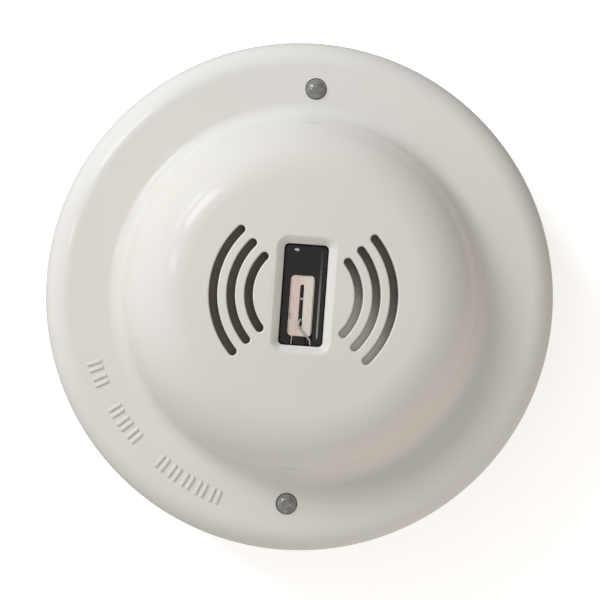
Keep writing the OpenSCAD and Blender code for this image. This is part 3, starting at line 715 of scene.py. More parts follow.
def radial_can(node):
    """A can turned from its sleeve's section, with a cross scored in its bare top."""
    low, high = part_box(node)
    centre, r, foot, top = (low + high) / 2, (high.x - low.x) / 2, low.z + 0.02 * mm, high.z
    bend = 0.16 * r
    outline = [(0, top - 0.12 * mm), (r * 0.78, top - 0.12 * mm), (r * 0.8, top)]
    for a in (math.radians(degrees) for degrees in range(15, 91, 15)):
        outline.append((r - bend + bend * math.sin(a), top - bend + bend * math.cos(a)))
    groove = foot + 1.3 * mm
    for share, up_by in ((1, 0.45), (0.955, 0.2), (0.94, 0), (0.955, -0.2), (1, -0.45)):
        outline.append((r * share, groove + up_by * mm))
    outline += [(r, foot + 0.2 * mm), (r * 0.96, foot), (r * 0.7, foot + 0.1 * mm), (0, foot + 0.1 * mm)]
    can = new_piece(node + "_finished", swept_round(outline, 64))
    blades = []
    for turn in (0, math.pi / 2):
        c, s = math.cos(turn), math.sin(turn)

        def score(growth):
            half = 0.07 * mm + growth
            corners = ((-r * 0.6, 0), (0, -half), (r * 0.6, 0), (0, half))
            return [(x * c - y * s, x * s + y * c) for x, y in corners]

        blades.append(new_piece("score", lofted(score, [(top - 0.24 * mm, 0), (top + 0.2 * mm, 0.2 * mm)])))
    cut(can, blades)
    smooth_by_angle(can, 35, sleeve.material)
    can.data.transform(Matrix.Translation((centre.x, centre.y, 0)))

    def is_bare(face):
        off = face.center - centre
        return face.center.z > top - 0.4 * mm and math.hypot(off.x, off.y) < r * 0.9

    second_finish(can, can_top.material, is_bare)
    fitted(can, "head", "capacitor_can", node)


radial_can("reservoir_capacitor")
radial_can("filter_capacitor")


# ---- Surge suppressor ----
# A pressed ceramic disc, dipped in blue epoxy that has set a little uneven. It stands on edge on
# two stiff tinned leads soldered into the board.
dip = Finish("blue dip coat", Coat_Weight=0.5, Coat_Roughness=0.08)
dark_blue, blue = (0.025, 0.10, 0.30), (0.045, 0.16, 0.42)
dip.drive("Base Color", dip.ramp(dip.noise(1.8 * mm, 4.0), (0.3, dark_blue), (0.7, blue)))
dip.drive("Roughness", dip.noise(0.9 * mm, 3.0) * 0.2 + 0.25)
dip.bump(dip.noise(0.9 * mm, 3.0), 0.06 * mm)


def dipped_disc(node):
    """A lens-shaped disc on edge, with a leg under each side."""
    low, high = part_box(node)
    centre, r, half = (low + high) / 2, (high.x - low.x) / 2, (high.y - low.y) / 2
    outline = [(0, half), (r * 0.5, half * 0.97)]
    for a in (math.radians(degrees) for degrees in range(10, 171, 16)):
        outline.append((r * 0.8 + r * 0.2 * math.sin(a), half * 0.93 * math.cos(a)))
    outline += [(r * 0.5, -half * 0.97), (0, -half)]
    disc = swept_round(outline, 56)
    bmesh.ops.rotate(disc, verts=disc.verts[:], matrix=Matrix.Rotation(math.pi / 2, 3, "X"))
    bmesh.ops.translate(disc, verts=disc.verts[:], vec=centre)
    body_faces = len(disc.faces)
    leg_spread, leg_length = 2.2 * mm, centre.z - board_top - 0.05 * mm
    for side in (-1, 1):
        leg = bmesh.ops.create_cone(disc, cap_ends=True, segments=16, radius1=0.3 * mm, radius2=0.42 * mm,
                                    depth=leg_length)["verts"]
        middle = Vector((centre.x + side * leg_spread, centre.y, (centre.z + board_top) / 2 + 0.02 * mm))
        bmesh.ops.translate(disc, verts=leg, vec=middle)
    piece = new_piece(node + "_finished", disc)
    smooth_by_angle(piece, 40, dip.material)
    second_finish(piece, lead_tin, lambda face: face.index >= body_faces)
    fitted(piece, "head", "varistor_coat", node)


dipped_disc("surge_suppressor")


# ---- Reed switch ----
# Two flat ferrous blades sealed in a thin greenish glass tube. Its tinned leads are bent down and
# soldered into the board, so the tube lies clear of it.
tube_glass = Finish("thin green glass", IOR=1.5, Transmission_Weight=0.92)
green, pale_green = (0.78, 0.90, 0.82), (0.86, 0.95, 0.89)
tube_glass.drive("Base Color", tube_glass.ramp(tube_glass.noise(4 * mm), (0.3, green), (0.7, pale_green)))
tube_glass.drive("Roughness", tube_glass.noise(1.5 * mm) * 0.05 + 0.01)


def glass_reed(node):
    """A closed glass tube along X, and in a piece of its own the blades and leads."""
    low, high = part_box(node)
    y = (low.y + high.y) / 2
    z = high.z - 1.1 * mm
    tip = ((0, 5.5), (0.45, 5.45), (0.85, 5.2), (1.05, 4.75), (1.1, 4.2))
    outline = [(r * mm, h * mm) for r, h in tip]
    outline += [(1.1 * mm, h * mm) for h in (2, 0, -2)] + [(r, -h) for r, h in outline[::-1]]
    lead_r, corner = 0.28 * mm, 8.5
    blade_size = (5.2 * mm, 0.9 * mm, 0.16 * mm)
    glass = swept_round(outline, 36)
    bmesh.ops.rotate(glass, verts=glass.verts[:], matrix=Matrix.Rotation(math.pi / 2, 3, "Y"))
    bmesh.ops.translate(glass, verts=glass.verts[:], vec=(0, y, z))
    tube = new_piece("reed_glass_tube", glass)
    smooth_by_angle(tube, 40, tube_glass.material)
    metal = bmesh.new()
    for side in (-1, 1):
        middle = (side * 2.2 * mm, y, z + side * 0.12 * mm)
        for v in bmesh.ops.create_cube(metal, size=1.0)["verts"]:
            v.co = [m + corner_at * size for m, corner_at, size in zip(middle, v.co, blade_size)]
        for start, end in (((4.6, z), (corner, z)), ((corner, z), (corner, board_top - 1.5 * mm))):
            a = Vector((side * start[0] * mm, y, start[1]))
            b = Vector((side * end[0] * mm, y, end[1]))
            rod = bmesh.ops.create_cone(metal, cap_ends=True, segments=16, radius1=lead_r, radius2=lead_r,
                                        depth=(b - a).length)["verts"]
            turn = (b - a).to_track_quat("Z", "Y").to_matrix()
            bmesh.ops.rotate(metal, verts=rod, matrix=turn)
            bmesh.ops.translate(metal, verts=rod, vec=(a + b) / 2)
        ball = bmesh.ops.create_uvsphere(metal, u_segments=16, v_segments=8, radius=lead_r)["verts"]
        bmesh.ops.translate(metal, verts=ball, vec=(side * corner * mm, y, z))
    leads = new_piece("reed_leads", metal)
    smooth_by_angle(leads, 40, lead_tin)
    fitted(tube, "head", "reed_glass", node)
    fitted(leads, "head", "tinned_wire")


glass_reed("reed_switch")


# ---- Chip components ----
# Eleven chip resistors and capacitors, soldered to the board in two rows. Each has a fired body
# and a solder-wetted cap on each end.
chip_body = Finish("fired chip body")
shade = chip_body.noise(6 * mm, 1.0)
black, brown, tan = (0.03, 0.03, 0.032), (0.22, 0.15, 0.09), (0.42, 0.34, 0.24)
chip_body.drive("Base Color", chip_body.ramp(shade, (0.42, black), (0.5, brown), (0.6, tan)))
chip_body.drive("Roughness", chip_body.noise(0.3 * mm, 4.0) * 0.2 + 0.4)
chip_body.bump(chip_body.noise(0.15 * mm, 3.0), 0.01 * mm)
cap_starts = 0.62 * mm


def is_cap(face):
    middle = face.center
    nearest = min(chip_rows, key=lambda row: (row[0] - middle.x) ** 2 + (row[1] - middle.y) ** 2)
    return abs(middle.x - nearest[0]) > cap_starts


chips = softened("chip_components", 0.08 * mm, chip_body.material)
second_finish(chips, lead_tin, is_cap)
fitted(chips, "head", "chip_plastic", "chip_components")


# ---- Status lamps ----
# Two surface-mount lamps: a white moulded body round a clear yellowish window. Each is soldered
# to the board under the foot of a light pipe.
lamp_body = Finish("white lamp body")
cream, white = (0.74, 0.72, 0.66), (0.83, 0.81, 0.76)
lamp_body.drive("Base Color", lamp_body.ramp(lamp_body.noise(0.8 * mm), (0.3, cream), (0.7, white)))
lamp_body.drive("Roughness", lamp_body.noise(0.3 * mm, 4.0) * 0.2 + 0.4)
lamp_window = Finish("yellow lamp window", Subsurface_Weight=0.3, Coat_Weight=0.6)
amber, yellow = (0.70, 0.55, 0.12), (0.82, 0.68, 0.22)
lamp_window.drive("Base Color", lamp_window.ramp(lamp_window.noise(0.4 * mm), (0.3, amber), (0.7, yellow)))
lamp_window.drive("Roughness", lamp_window.noise(0.3 * mm) * 0.15 + 0.15)
for number in (1, 2):
    node = f"status_led_{number}"
    lamp = softened(node, 0.1 * mm, lamp_body.material)
    window_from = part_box(node)[1].z - 0.19 * mm
    second_finish(lamp, lamp_window.material, lambda face: face.center.z > window_from)
    fitted(lamp, "head", "led_body", node)


# ---- Light pipes ----
# Two clear polycarbonate pipes, pressed up through the flange. Each ends in a low polished dome
# and carries its lamp's light to the front.
pipe_clear = Finish("clear polycarbonate", IOR=1.58, Transmission_Weight=0.5, Coat_Weight=1.0, Coat_IOR=2.1)
cloudy = pipe_clear.noise(0.9 * mm, 4.0, 0.6)
dark, middling, pale = (0.15, 0.154, 0.146), (0.27, 0.27, 0.258), (0.50, 0.49, 0.47)
pipe_clear.drive("Base Color", pipe_clear.ramp(cloudy, (0.3, dark), (0.5, middling), (0.72, pale)))
pipe_clear.drive("Roughness", cloudy * 0.08 + 0.02)
for number in (1, 2):
    node = f"light_pipe_{number}"
    low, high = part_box(node)
    centre, r, cap = (low + high) / 2, (high.x - low.x) / 2, 1.2 * mm
    outline = [(0, high.z)]
    for a in (math.radians(degrees) for degrees in range(6, 91, 6)):
        outline.append((r * math.sin(a), high.z - cap + cap * math.cos(a)))
    for inwards, up_by in ((0, 0.7), (0.1, 0.5), (0.4, 0.05), (0.5, 0)):
        outline.append((r - inwards * mm, low.z + up_by * mm))
    pipe = new_piece(node + "_finished", swept_round(outline + [(0, low.z)], 72))
    pipe.data.transform(Matrix.Translation((centre.x, centre.y, 0)))
    smooth_by_angle(pipe, 40, pipe_clear.material)
    fitted(pipe, "head", "pipe_clear", node)


# ---- Air baffle ----
# A dish moulded in black plastic that stands on four legs under the air slots and has a dull
# metallised skin. Light is painted on the skin towards the lower right, where light through the
# slots would fall.
baffle_black = Finish("blackened screen", Metallic=1.0)
level = baffle_black.node("VectorMath", {"operation": "MULTIPLY"}, {0: baffle_black.place(), 1: (1, 1, 0)})
out = baffle_black.node("VectorMath", {"operation": "LENGTH"}, {0: level}, 1)
patchy = baffle_black.noise(2.5 * mm, 5.0, 0.65)
lower = baffle_black.along(1) * -1 - out * 0.9 + (patchy - 0.5) * (6 * mm)
to_the_right = baffle_black.between(baffle_black.along(0), -4 * mm, 4 * mm)
# painted light: towards the lower right the skin is made pale, up to near white, in place of light through the
# slots
painted_light_share = baffle_black.between(lower, -27 * mm, -0.5 * mm) * to_the_right
bright = baffle_black.ramp(
    painted_light_share, (0, (0.205, 0.18, 0.16)), (0.35, (0.225, 0.21, 0.195)), (0.6, (0.36, 0.35, 0.33)),
    (1, (0.98, 0.96, 0.94)),
)
baffle_black.drive("Base Color", bright)
baffle_black.drive("Roughness", patchy * 0.2 + 0.3)
baffle_black.bump(baffle_black.noise(0.15 * mm, 3.0, 0.6), 0.008 * mm)
fitted(softened("air_baffle", 0.12 * mm, baffle_black.material), "head", "baffle_black", "air_baffle")


# ---- Sensor holder ----
# The gloss black carrier that fills the window: a moulded tower with a pocket for the sensor's
# plate and grooves for its leads. A thin moulded rail runs down its right side.
holder_black = Finish("gloss black plastic", Specular_IOR_Level=0.5)
lint = holder_black.between(holder_black.noise(0.9 * mm, 6.0, 0.72), 0.62, 0.8)
black, grey = (0.012, 0.012, 0.0125, 1), (0.10, 0.10, 0.10, 1)
holder_black.drive("Base Color", holder_black.blend(lint * 0.25, black, grey))
holder_black.drive("Roughness", holder_black.noise(1.4 * mm, 4.0) * 0.16 + 0.14)
holder_black.bump(holder_black.noise(1.6 * mm, 2.0), 0.02 * mm)
holder_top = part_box("sensor_holder")[1].z
holder = softened("sensor_holder", 0.14 * mm, holder_black.material, 3)
fitted(holder, "head", "holder_black", "sensor_holder")


def bar_shape(add, link, given, copy):
    """The shape is a rounded bar of a length, a width and a height."""
    size, block = add("ShaderNodeCombineXYZ"), add("GeometryNodeMeshCube")
    round_off, smooth = add("GeometryNodeSubdivisionSurface"), add("GeometryNodeSetShadeSmooth")
    for count, name in ((9, "Vertices X"), (3, "Vertices Y"), (3, "Vertices Z")):
        block.inputs[name].default_value = count
    round_off.inputs["Level"].default_value = 2
    for name, axis in (("Length", "X"), ("Width", "Y"), ("Height", "Z")):
        link(given[name], size.inputs[axis])
    link(size.outputs["Vector"], block.inputs["Size"])
    link(block.outputs["Mesh"], round_off.inputs["Mesh"])
    link(round_off.outputs["Mesh"], smooth.inputs["Geometry"])
    link(smooth.outputs["Geometry"], copy["Instance"])


bar_sizes = [(name, "Float") for name in ("Length", "Width", "Height")]
bars = points_tree("rounded bars", bar_sizes, bar_shape)
rail_x = 3.05 * mm
rail_highlight_paint = Finish("rubbed black plastic")
# painted highlight: the rail is coloured grey, paler towards its lower end, in place of the light line along
# its edge
lower = rail_highlight_paint.along(1) * -1 + rail_highlight_paint.noise(0.8 * mm, 4.0) * (6 * mm)
painted_highlight = rail_highlight_paint.between(lower, -6 * mm, 9 * mm)
rail_highlight_paint.drive("Base Color", rail_highlight_paint.blend(painted_highlight, (0.03, 0.03, 0.03, 1), (0.24, 0.24, 0.235, 1)))
rail_highlight_paint.drive("Roughness", rail_highlight_paint.noise(0.5 * mm) * 0.2 + 0.15)
rail = run_tree("holder_rail", bars, [(rail_x, 0.2 * mm, holder_top)], [math.radians(90)],
                Length=16.8 * mm, Width=0.38 * mm, Height=0.34 * mm, Finish=rail_highlight_paint.material)
fitted(rail, "head", "holder_black")
pip = mound("holder_pip", 0.9 * mm, 0.55 * mm, 0.22 * mm)
pip_place = Matrix.Translation((-1.8 * mm, 8.5 * mm, holder_top))
pip.data.transform(pip_place @ Matrix.Rotation(math.radians(-12), 4, "Z"))
# painted glint: the pip is coloured grey to near white, standing for a small bright reflection
pip_glint_paint = Finish("rubbed pip", Metallic=0.6)
grey, white = (0.35, 0.35, 0.35), (0.95, 0.95, 0.95)
pip_glint_paint.drive("Base Color", pip_glint_paint.ramp(pip_glint_paint.noise(0.5 * mm), (0.4, grey), (0.6, white)))
pip_glint_paint.drive("Roughness", pip_glint_paint.noise(0.4 * mm) * 0.2 + 0.2)
pip.data.materials.append(pip_glint_paint.material)
fitted(pip, "head", "holder_black")


# ---- Sensor pad ----
# A pressed ceramic plate in the holder's pocket. Its two halves lean to the slot in its middle;
# the left one is pinker than the right and has a few darker patches.
pad_low, pad_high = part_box("sensor_pad")
pad_middle = (pad_low + pad_high) / 2
ceramic = Finish("pink and cream ceramic", Specular_IOR_Level=0.35)
across = ceramic.between(ceramic.along(0), pad_middle.x - 0.3 * mm, pad_middle.x + 0.5 * mm)
speckle = ceramic.noise(0.5 * mm, 6.0, 0.7)
pink = ceramic.ramp(speckle, (0.3, (0.66, 0.52, 0.47)), (0.7, (0.80, 0.67, 0.62)))
cream = ceramic.ramp(speckle, (0.3, (0.61, 0.56, 0.50)), (0.7, (0.73, 0.69, 0.64)))
dark_patches = ceramic.between(ceramic.noise(1.7 * mm, 3.0, 0.6), 0.55, 0.72) * (1 - across)
plate = ceramic.blend(across, pink, cream)
ceramic.drive("Base Color", ceramic.blend(dark_patches * 0.55, plate, (0.36, 0.27, 0.25, 1)))
ceramic.drive("Roughness", speckle * 0.25 + 0.4)
ceramic.bump(speckle, 0.03 * mm)
fitted(softened("sensor_pad", 0.1 * mm, ceramic.material), "head", "pad_ceramic", "sensor_pad")


# ---- Thermistor ----
# A slim glass-coated rod with a fired silver band near each end. It lies in the plate's slot and
# is held by its two leads.
rod_low, rod_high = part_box("thermistor")
rod_middle = (rod_low + rod_high) / 2
rod_length = rod_high.y - rod_low.y
coated = Finish("black glass coat")
bands = []
for share in (0.32, 0.86):
    past_band = coated.along(1) - (rod_high.y - share * rod_length)
    off = coated.node("Math", {"operation": "ABSOLUTE"}, {0: past_band})
    bands.append(off < 0.22 * mm)
silver = (bands[0] + bands[1]) * (coated.noise(0.25 * mm, 4.0) > 0.42)
coated.drive("Base Color", coated.blend(silver, (0.013, 0.011, 0.011, 1), (0.86, 0.86, 0.84, 1)))
coated.drive("Metallic", silver)
coated.drive("Roughness", coated.noise(0.3 * mm) * 0.15 + 0.1)
coated.bump(coated.noise(0.25 * mm, 3.0), 0.03 * mm)


def glass_rod(node):
    """A rod along Y with round ends and a coat that swells and thins a little."""
    r = (rod_high.x - rod_low.x) / 2
    half = rod_length / 2
    outline = [(0, half)]
    for a in (math.radians(degrees) for degrees in range(15, 91, 15)):
        outline.append((r * math.sin(a), half - r + r * math.cos(a)))
    steps = 40
    for i in range(1, steps):
        y = half - r - (2 * half - 2 * r) * i / steps
        swell = 1 - 0.05 * math.sin(i * 1.9) ** 2
        outline.append((r * swell, y))
    outline += [(q, -y) for q, y in outline[6::-1]]
    bm = swept_round(outline, 24)
    bmesh.ops.rotate(bm, verts=bm.verts[:], matrix=Matrix.Rotation(-math.pi / 2, 3, "X"))
    bmesh.ops.translate(bm, verts=bm.verts[:], vec=rod_middle)
    rod = new_piece(node + "_finished", bm)
    smooth_by_angle(rod, 50, coated.material)
    fitted(rod, "head", "bead_glass", node)


glass_rod("thermistor")


# ---- Thermistor leads ----
# Two soft tinned wires, bent by hand: one from the rod's foot over the plate's end, the other
# only seen where it goes down its groove.
pad_top = holder_top - 0.15 * mm
bed = holder_top - 0.25 * mm
tail = board_top - 2.4 * mm
lead_paths = (
    [(-0.22, -4.6, pad_top - 0.1 * mm), (-0.55, -4.95, pad_top + 0.12 * mm),
     (-0.62, -5.6, pad_top + 0.16 * mm), (-0.35, -6.3, pad_top + 0.18 * mm),
     (0.3, -6.95, pad_top + 0.22 * mm), (1.1, -7.75, pad_top + 0.2 * mm),
     (1.65, -8.3, bed + 0.05 * mm), (1.86, -8.8, bed), (1.8, -9.5, bed - 0.2 * mm), (1.8, -9.52, bed - 2 * mm),
     (1.8, -9.45, board_top + 1 * mm), (1.8, -9.2, board_top), (1.8, -9.2, tail)],
    [(-1.7, -7.75, bed - 0.16 * mm), (-1.62, -8.3, bed - 0.12 * mm), (-1.72, -8.9, bed - 0.12 * mm),
     (-1.7, -9.5, bed - 0.25 * mm), (-1.7, -9.52, bed - 2 * mm), (-1.7, -9.45, board_top + 1 * mm),
     (-1.7, -9.2, board_top), (-1.7, -9.2, tail)],
)
curve = bpy.data.curves.new("thermistor_leads_bent", "CURVE")
curve.dimensions = "3D"
curve.bevel_depth, curve.bevel_resolution, curve.use_fill_caps = 0.2 * mm, 3, True
for path in lead_paths:
    spline = curve.splines.new("NURBS")
    spline.points.add(len(path) - 1)
    for point, (x, y, z) in zip(spline.points, path):
        point.co = (x * mm, y * mm, z, 1)
    spline.order_u, spline.use_endpoint_u, spline.resolution_u = 3, True, 6
drawn = bpy.data.objects.new("drawn_leads", curve)
bpy.context.scene.collection.objects.link(drawn)
bpy.context.view_layer.update()
wires = bpy.data.meshes.new_from_object(drawn.evaluated_get(bpy.context.evaluated_depsgraph_get()))
leads = bpy.data.objects.new("thermistor_leads_finished", wires)
bpy.context.scene.collection.objects.link(leads)
bpy.data.objects.remove(drawn)
leads.data.materials.clear()
leads.data.materials.append(dull_tin("bright tinned wire", (0.84, 0.83, 0.81)))
fitted(leads, "head", "tinned_wire", "thermistor_leads")


# ---- Cover ----
# One thin shell of glossy off-white ABS, moulded with its dome, flange and rolled rim. The
# window and the air slots go through the face with softened lips; bosses stand inside it.
def glossy_moulding(name, light_tone, dark_tone, gloss):
    """Polished moulded plastic: slow tone drift, faint handling marks and an orange-peel skin."""
    finish = Finish(name)
    handled = finish.between(finish.noise(14 * mm, 6.0, 0.68), 0.55, 0.78)
    skin = finish.ramp(finish.noise(32 * mm, 2.0), (0.3, dark_tone), (0.7, light_tone))
    finish.drive("Base Color", finish.blend(handled * 0.3, skin, (*[0.95 * c for c in dark_tone], 1)))
    finish.drive("Roughness", finish.noise(5 * mm, 4.0) * 0.05 + handled * 0.07 + (gloss - 0.02))
    finish.bump(finish.noise(2.2 * mm, 3.0, 0.5), 0.012 * mm)
    return finish.material


flange_z = 24 * mm
face_r = 22.3 * mm
face_slope = math.radians(3)
shoulder_bend = 13 * mm
shoulder_slope = math.radians(70)
shoulder_run = 2.6 * mm
foot_fillet = 3.2 * mm
rim_bend = 5 * mm
skirt_z = cover_low.z
top_z = cover_high.z
wall = 2 * mm
stretches = [
    (face_r / math.sin(face_slope), 0, face_slope, 0),
    (shoulder_bend, face_slope, shoulder_slope, shoulder_run),
    (-foot_fillet, shoulder_slope, 0, None),
    (rim_bend, 0, math.pi / 2, flange_z - rim_bend - skirt_z - 0.3 * mm),
    (0.3 * mm, math.pi / 2, math.pi, 0),
]


def skin_points(bend_step):
    """The outer skin's section from the axis outwards: (radius, height, slope) at each point."""
    points, r, z = [(0.0, top_z, 0.0)], 0.0, top_z
    for bend, start, end, run in stretches:
        steps = max(8, math.ceil(abs(end - start) / bend_step))
        r0, z0 = r, z
        for i in range(1, steps + 1):
            slope = start + (end - start) * i / steps
            r = r0 + bend * (math.sin(slope) - math.sin(start))
            z = z0 + bend * (math.cos(slope) - math.cos(start))
            points.append((r, z, slope))
        if run is None:
            run = head_r - rim_bend - r
        if run > 0:
            pieces = max(1, round(run / (2 * mm)))
            for i in range(pieces):
                r += run / pieces * math.cos(end)
                z -= run / pieces * math.sin(end)
                points.append((r, z, end))
    return points


def skin_height(x, y):
    """Height of the face's skin over a point near the axis."""
    ball = face_r / math.sin(face_slope)
    return top_z - ball + math.sqrt(ball * ball - x * x - y * y)


def turned_shell(points, thickness, segments):
    """A closed shell: the outer skin, turned round the axis, and an inner skin inside it."""
    outer = [(r, z) for r, z, slope in points]
    inner = []
    for r, z, s in points:
        if s <= math.pi / 2:
            inner.append((max(r - thickness * math.sin(s), 0), z - thickness * math.cos(s)))
    inner[-1] = (inner[-1][0], skirt_z + 0.001 * mm)
    outline = outer + inner[:0:-1]
    bm = bmesh.new()
    poles = [bm.verts.new((0, 0, top_z)), bm.verts.new((0, 0, top_z - thickness))]
    turns = [2 * math.pi * k / segments for k in range(segments)]
    rings = [[bm.verts.new((r * math.cos(a), r * math.sin(a), z)) for a in turns] for r, z in outline[1:]]
    for k in range(segments):
        n = (k + 1) % segments
        bm.faces.new((poles[0], rings[0][k], rings[0][n]))
        bm.faces.new((poles[1], rings[-1][n], rings[-1][k]))
        for near, far in zip(rings[:-1], rings[1:]):
            bm.faces.new((near[k], far[k], far[n], near[n]))
    bmesh.ops.recalc_face_normals(bm, faces=bm.faces[:])
    return bm


def arc_slot(radius, width, half_angle, side_angle):
    """Outline of an arc-shaped slot with round ends, grown by a distance all round."""
    def outline(growth):
        half = width / 2 + growth
        end = half_angle - math.asin(width / 2 / radius)
        points = []
        for i in range(41):
            a = -end + 2 * end * i / 40
            points.append((radius + half, a, 0))
        cap = 14
        for i in range(1, cap):
            points.append((half, end, math.pi * i / cap))
        for i in range(41):
            a = end - 2 * end * i / 40
            points.append((radius - half, a, 0))
        for i in range(1, cap):
            points.append((half, -end, math.pi + math.pi * i / cap))
        placed = []
        for size, a, round_end in points:
            if size == half:
                x = radius * math.cos(a) + half * math.cos(a + round_end)
                y = radius * math.sin(a) + half * math.sin(a + round_end)
            else:
                x, y = size * math.cos(a), size * math.sin(a)
            c, s = math.cos(side_angle), math.sin(side_angle)
            placed.append((x * c - y * s, x * s + y * c))
        return placed
    return outline


def rounded_window(width, length, corner, centre=(0, 0)):
    """Outline of a rounded rectangle, grown by a distance all round."""
    def outline(growth):
        points = []
        for quarter, (sx, sy) in enumerate(((1, 1), (-1, 1), (-1, -1), (1, -1))):
            for i in range(9):
                a = math.pi / 2 * (quarter + i / 8)
                x = sx * (width / 2 - corner) + (corner + growth) * math.cos(a)
                y = sy * (length / 2 - corner) + (corner + growth) * math.sin(a)
                points.append((centre[0] + x, centre[1] + y))
        return points
    return outline


def round_hole(radius, centre):
    """Outline of a circle, grown by a distance all round."""
    def outline(growth):
        r, turns = radius + growth, [2 * math.pi * k / 72 for k in range(72)]
        return [(centre[0] + r * math.cos(a), centre[1] + r * math.sin(a)) for a in turns]
    return outline


def lip(radius, depth):
    """Levels of a straight cut whose upper edge is rounded over."""
    levels = [(-depth, 0.0)]
    for i in range(6):
        a = math.radians(75) * i / 5
        levels.append((-radius + radius * math.sin(a), radius * (1 - math.cos(a))))
    levels.append((levels[-1][0] + 0.35 * radius, levels[-1][1] + 1.2 * radius))
    levels.append((0.6 * mm, levels[-1][1] + 0.1 * mm))
    return levels


window_w, window_l, window_bevel = 8.4 * mm, 19.2 * mm, 1.5 * mm
slot_w, slot_r, slot_pitch = 1.6 * mm, 10.4 * mm, 3.35 * mm
slot_half_angle = math.radians(45)
through = 4 * mm
lamp_r = 40.5 * mm
lamp_hole_r = 2.1 * mm

cover = new_piece("cover_shell", turned_shell(skin_points(math.radians(2.5)), wall, 240))
bevel_depth = 1.1 * mm
window_levels = [
    (-through, 0.0), (-bevel_depth - 0.12 * mm, 0.0), (-bevel_depth - 0.03 * mm, 0.03 * mm),
    (-bevel_depth + 0.06 * mm, 0.13 * mm), (-0.16 * mm, window_bevel - 0.24 * mm),
    (-0.07 * mm, window_bevel - 0.08 * mm), (0.0, window_bevel + 0.12 * mm),
    (0.05 * mm, window_bevel + 0.5 * mm), (0.6 * mm, window_bevel + 0.7 * mm),
]
cutters = [lofted(rounded_window(window_w, window_l, 0.9 * mm), window_levels, skin_height)]
for side_angle in (0, math.pi):
    for i in range(3):
        outline = arc_slot(slot_r + i * slot_pitch, slot_w, slot_half_angle, side_angle)
        cutters.append(lofted(outline, lip(0.3 * mm, through), skin_height))
for end in (-1, 1):
    outline = round_hole(lamp_hole_r, (0, end * lamp_r))
    cutters.append(lofted(outline, lip(0.1 * mm, through), lambda x, y: flange_z))
notch_side = math.radians(-60)
notch_outline = rounded_window(0.8 * mm, 1.0 * mm, 0.15 * mm)
notch = lofted(notch_outline, [(skirt_z - 1 * mm, 0), (skirt_z + 3 * mm, 0)])
bmesh.ops.rotate(notch, verts=notch.verts[:], matrix=Matrix.Rotation(notch_side, 3, "Z"))
on_rim = (head_r * math.cos(notch_side), head_r * math.sin(notch_side), 0)
bmesh.ops.translate(notch, verts=notch.verts[:], vec=on_rim)
cutters.append(notch)
all_cuts = bmesh.new()
for cutter in cutters:
    one = bpy.data.meshes.new("cut")
    cutter.to_mesh(one)
    all_cuts.from_mesh(one)
    bpy.data.meshes.remove(one)
    cutter.free()
cut(cover, [new_piece("cuts", all_cuts)])


def true_normals(piece, points):
    """Gives the outer skin the exact normals of its section, so that the cuts leave no dents."""
    smooth_by_angle(piece, 32)
    mesh = piece.data
    corners, faces = len(mesh.loops), len(mesh.polygons)
    normals, vertex_of = np.zeros(corners * 3, np.float32), np.zeros(corners, np.int32)
    places, face_normals = np.zeros(len(mesh.vertices) * 3, np.float32), np.zeros(faces * 3, np.float32)
    totals, areas = np.zeros(faces, np.int32), np.zeros(faces, np.float32)
    mesh.corner_normals.foreach_get("vector", normals)
    mesh.loops.foreach_get("vertex_index", vertex_of)
    mesh.vertices.foreach_get("co", places)
    mesh.polygons.foreach_get("normal", face_normals)
    mesh.polygons.foreach_get("loop_total", totals)
    mesh.polygons.foreach_get("area", areas)
    normals, places, face_normals = (v.reshape(-1, 3) for v in (normals, places, face_normals))
    r, z = np.hypot(places[:, 0], places[:, 1]), places[:, 2]
    radii, heights, slopes = (np.array(v) for v in zip(*points))
    travel = np.concatenate([[0], np.cumsum(np.hypot(np.diff(radii), np.diff(heights)))])
    fine = np.linspace(0, travel[-1], 4000)
    fine_r, fine_z, fine_s = (np.interp(fine, travel, v) for v in (radii, heights, slopes))
    near = []
    batch = 4000
    for i in range(0, len(r), batch):
        off_r, off_z = r[i:i + batch, None] - fine_r, z[i:i + batch, None] - fine_z
        near.append((off_r ** 2 + off_z ** 2).argmin(1))
    near = np.concatenate(near)
    gap = np.hypot(r - fine_r[near], z - fine_z[near])
    away = places[:, :2] / np.maximum(r, 1e-9)[:, None]
    exact = np.column_stack([away * np.sin(fine_s[near])[:, None], np.cos(fine_s[near])])[vertex_of]
    agreement = (exact * np.repeat(face_normals, totals, axis=0)).sum(1)
    sliver = np.repeat(areas, totals) < 0.01 * mm * mm
    on_skin = (gap[vertex_of] < 0.02 * mm) & ((agreement > 0.99) | (sliver & (agreement > 0.6)))
    normals[on_skin] = exact[on_skin]
    mesh.normals_split_custom_set(normals.tolist())


true_normals(cover, skin_points(math.radians(1)))
ivory, dark_ivory = (0.715, 0.705, 0.68), (0.69, 0.675, 0.645)
cover_plastic = glossy_moulding("ivory gloss plastic", ivory, dark_ivory, 0.13)
cover.data.materials.append(cover_plastic)


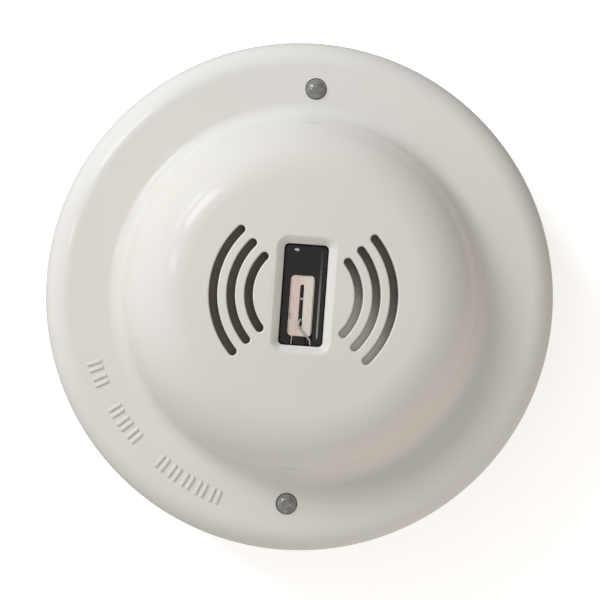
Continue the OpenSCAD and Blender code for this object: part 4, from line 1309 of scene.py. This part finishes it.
def short_tube(bm, centre, outer_r, inner_r, low, high, segments=40):
    """Adds a tube that stands upright and is open through its middle."""
    turns = [math.tau * k / segments for k in range(segments)]
    lip_r = 0.15 * mm
    outline = [(inner_r, high), (outer_r, high), (outer_r, low + lip_r)]
    outline += [(outer_r - lip_r, low), (inner_r + lip_r, low), (inner_r, low + lip_r)]
    rings = []
    for r, z in outline:
        ring = [(centre[0] + r * math.cos(a), centre[1] + r * math.sin(a), z) for a in turns]
        rings.append([bm.verts.new(place) for place in ring])
    for ring, after in zip(rings, rings[1:] + rings[:1]):
        for k in range(segments):
            n = (k + 1) % segments
            bm.faces.new((ring[k], ring[n], after[n], after[k]))


inside = bmesh.new()
boss_r, boss_hole_r, boss_foot_z, sunk_z = 3 * mm, 1.25 * mm, 14.5 * mm, flange_z - 1 * mm
for angle in boss_angles:
    a = math.radians(angle)
    place = (post_r * math.cos(a), post_r * math.sin(a))
    short_tube(inside, place, boss_r, boss_hole_r, boss_foot_z, sunk_z)
for end in (-1, 1):
    short_tube(inside, (0, end * lamp_r), boss_r, lamp_hole_r, flange_z - 3.4 * mm, sunk_z)
bmesh.ops.recalc_face_normals(inside, faces=inside.faces[:])
bosses = new_piece("cover_bosses", inside)
smooth_by_angle(bosses, 35, cover_plastic)
fitted(cover, "head", "cover_plastic", "cover")
fitted(bosses, "head", "cover_plastic")


# ---- Raised legend bars ----
# Three groups of low bars on the flange's lower left, where a legend would be. They are moulded
# in one with the cover, so they have its plastic and its gloss.
legend_middle_r = 42.25 * mm
legend_groups = ((201, 2), (214, 3), (232.5, 5))
legend_step = 4.1
bar_angles = []
for start, count in legend_groups:
    for i in range(count):
        bar_angles += [start + legend_step * (i + share) for share in (0.22, 0.64)]
points, turns = on_circle(bar_angles, legend_middle_r, flange_z)
legend = run_tree("legend_bars", bars, points, turns,
                  Length=2.9 * mm, Width=0.62 * mm, Height=0.42 * mm, Finish=cover_plastic)
fitted(legend, "head", "cover_plastic")


visual_low, visual_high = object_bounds()
sizes = {"cad": [list(cad_low), list(cad_high)], "visual": [list(visual_low), list(visual_high)]}
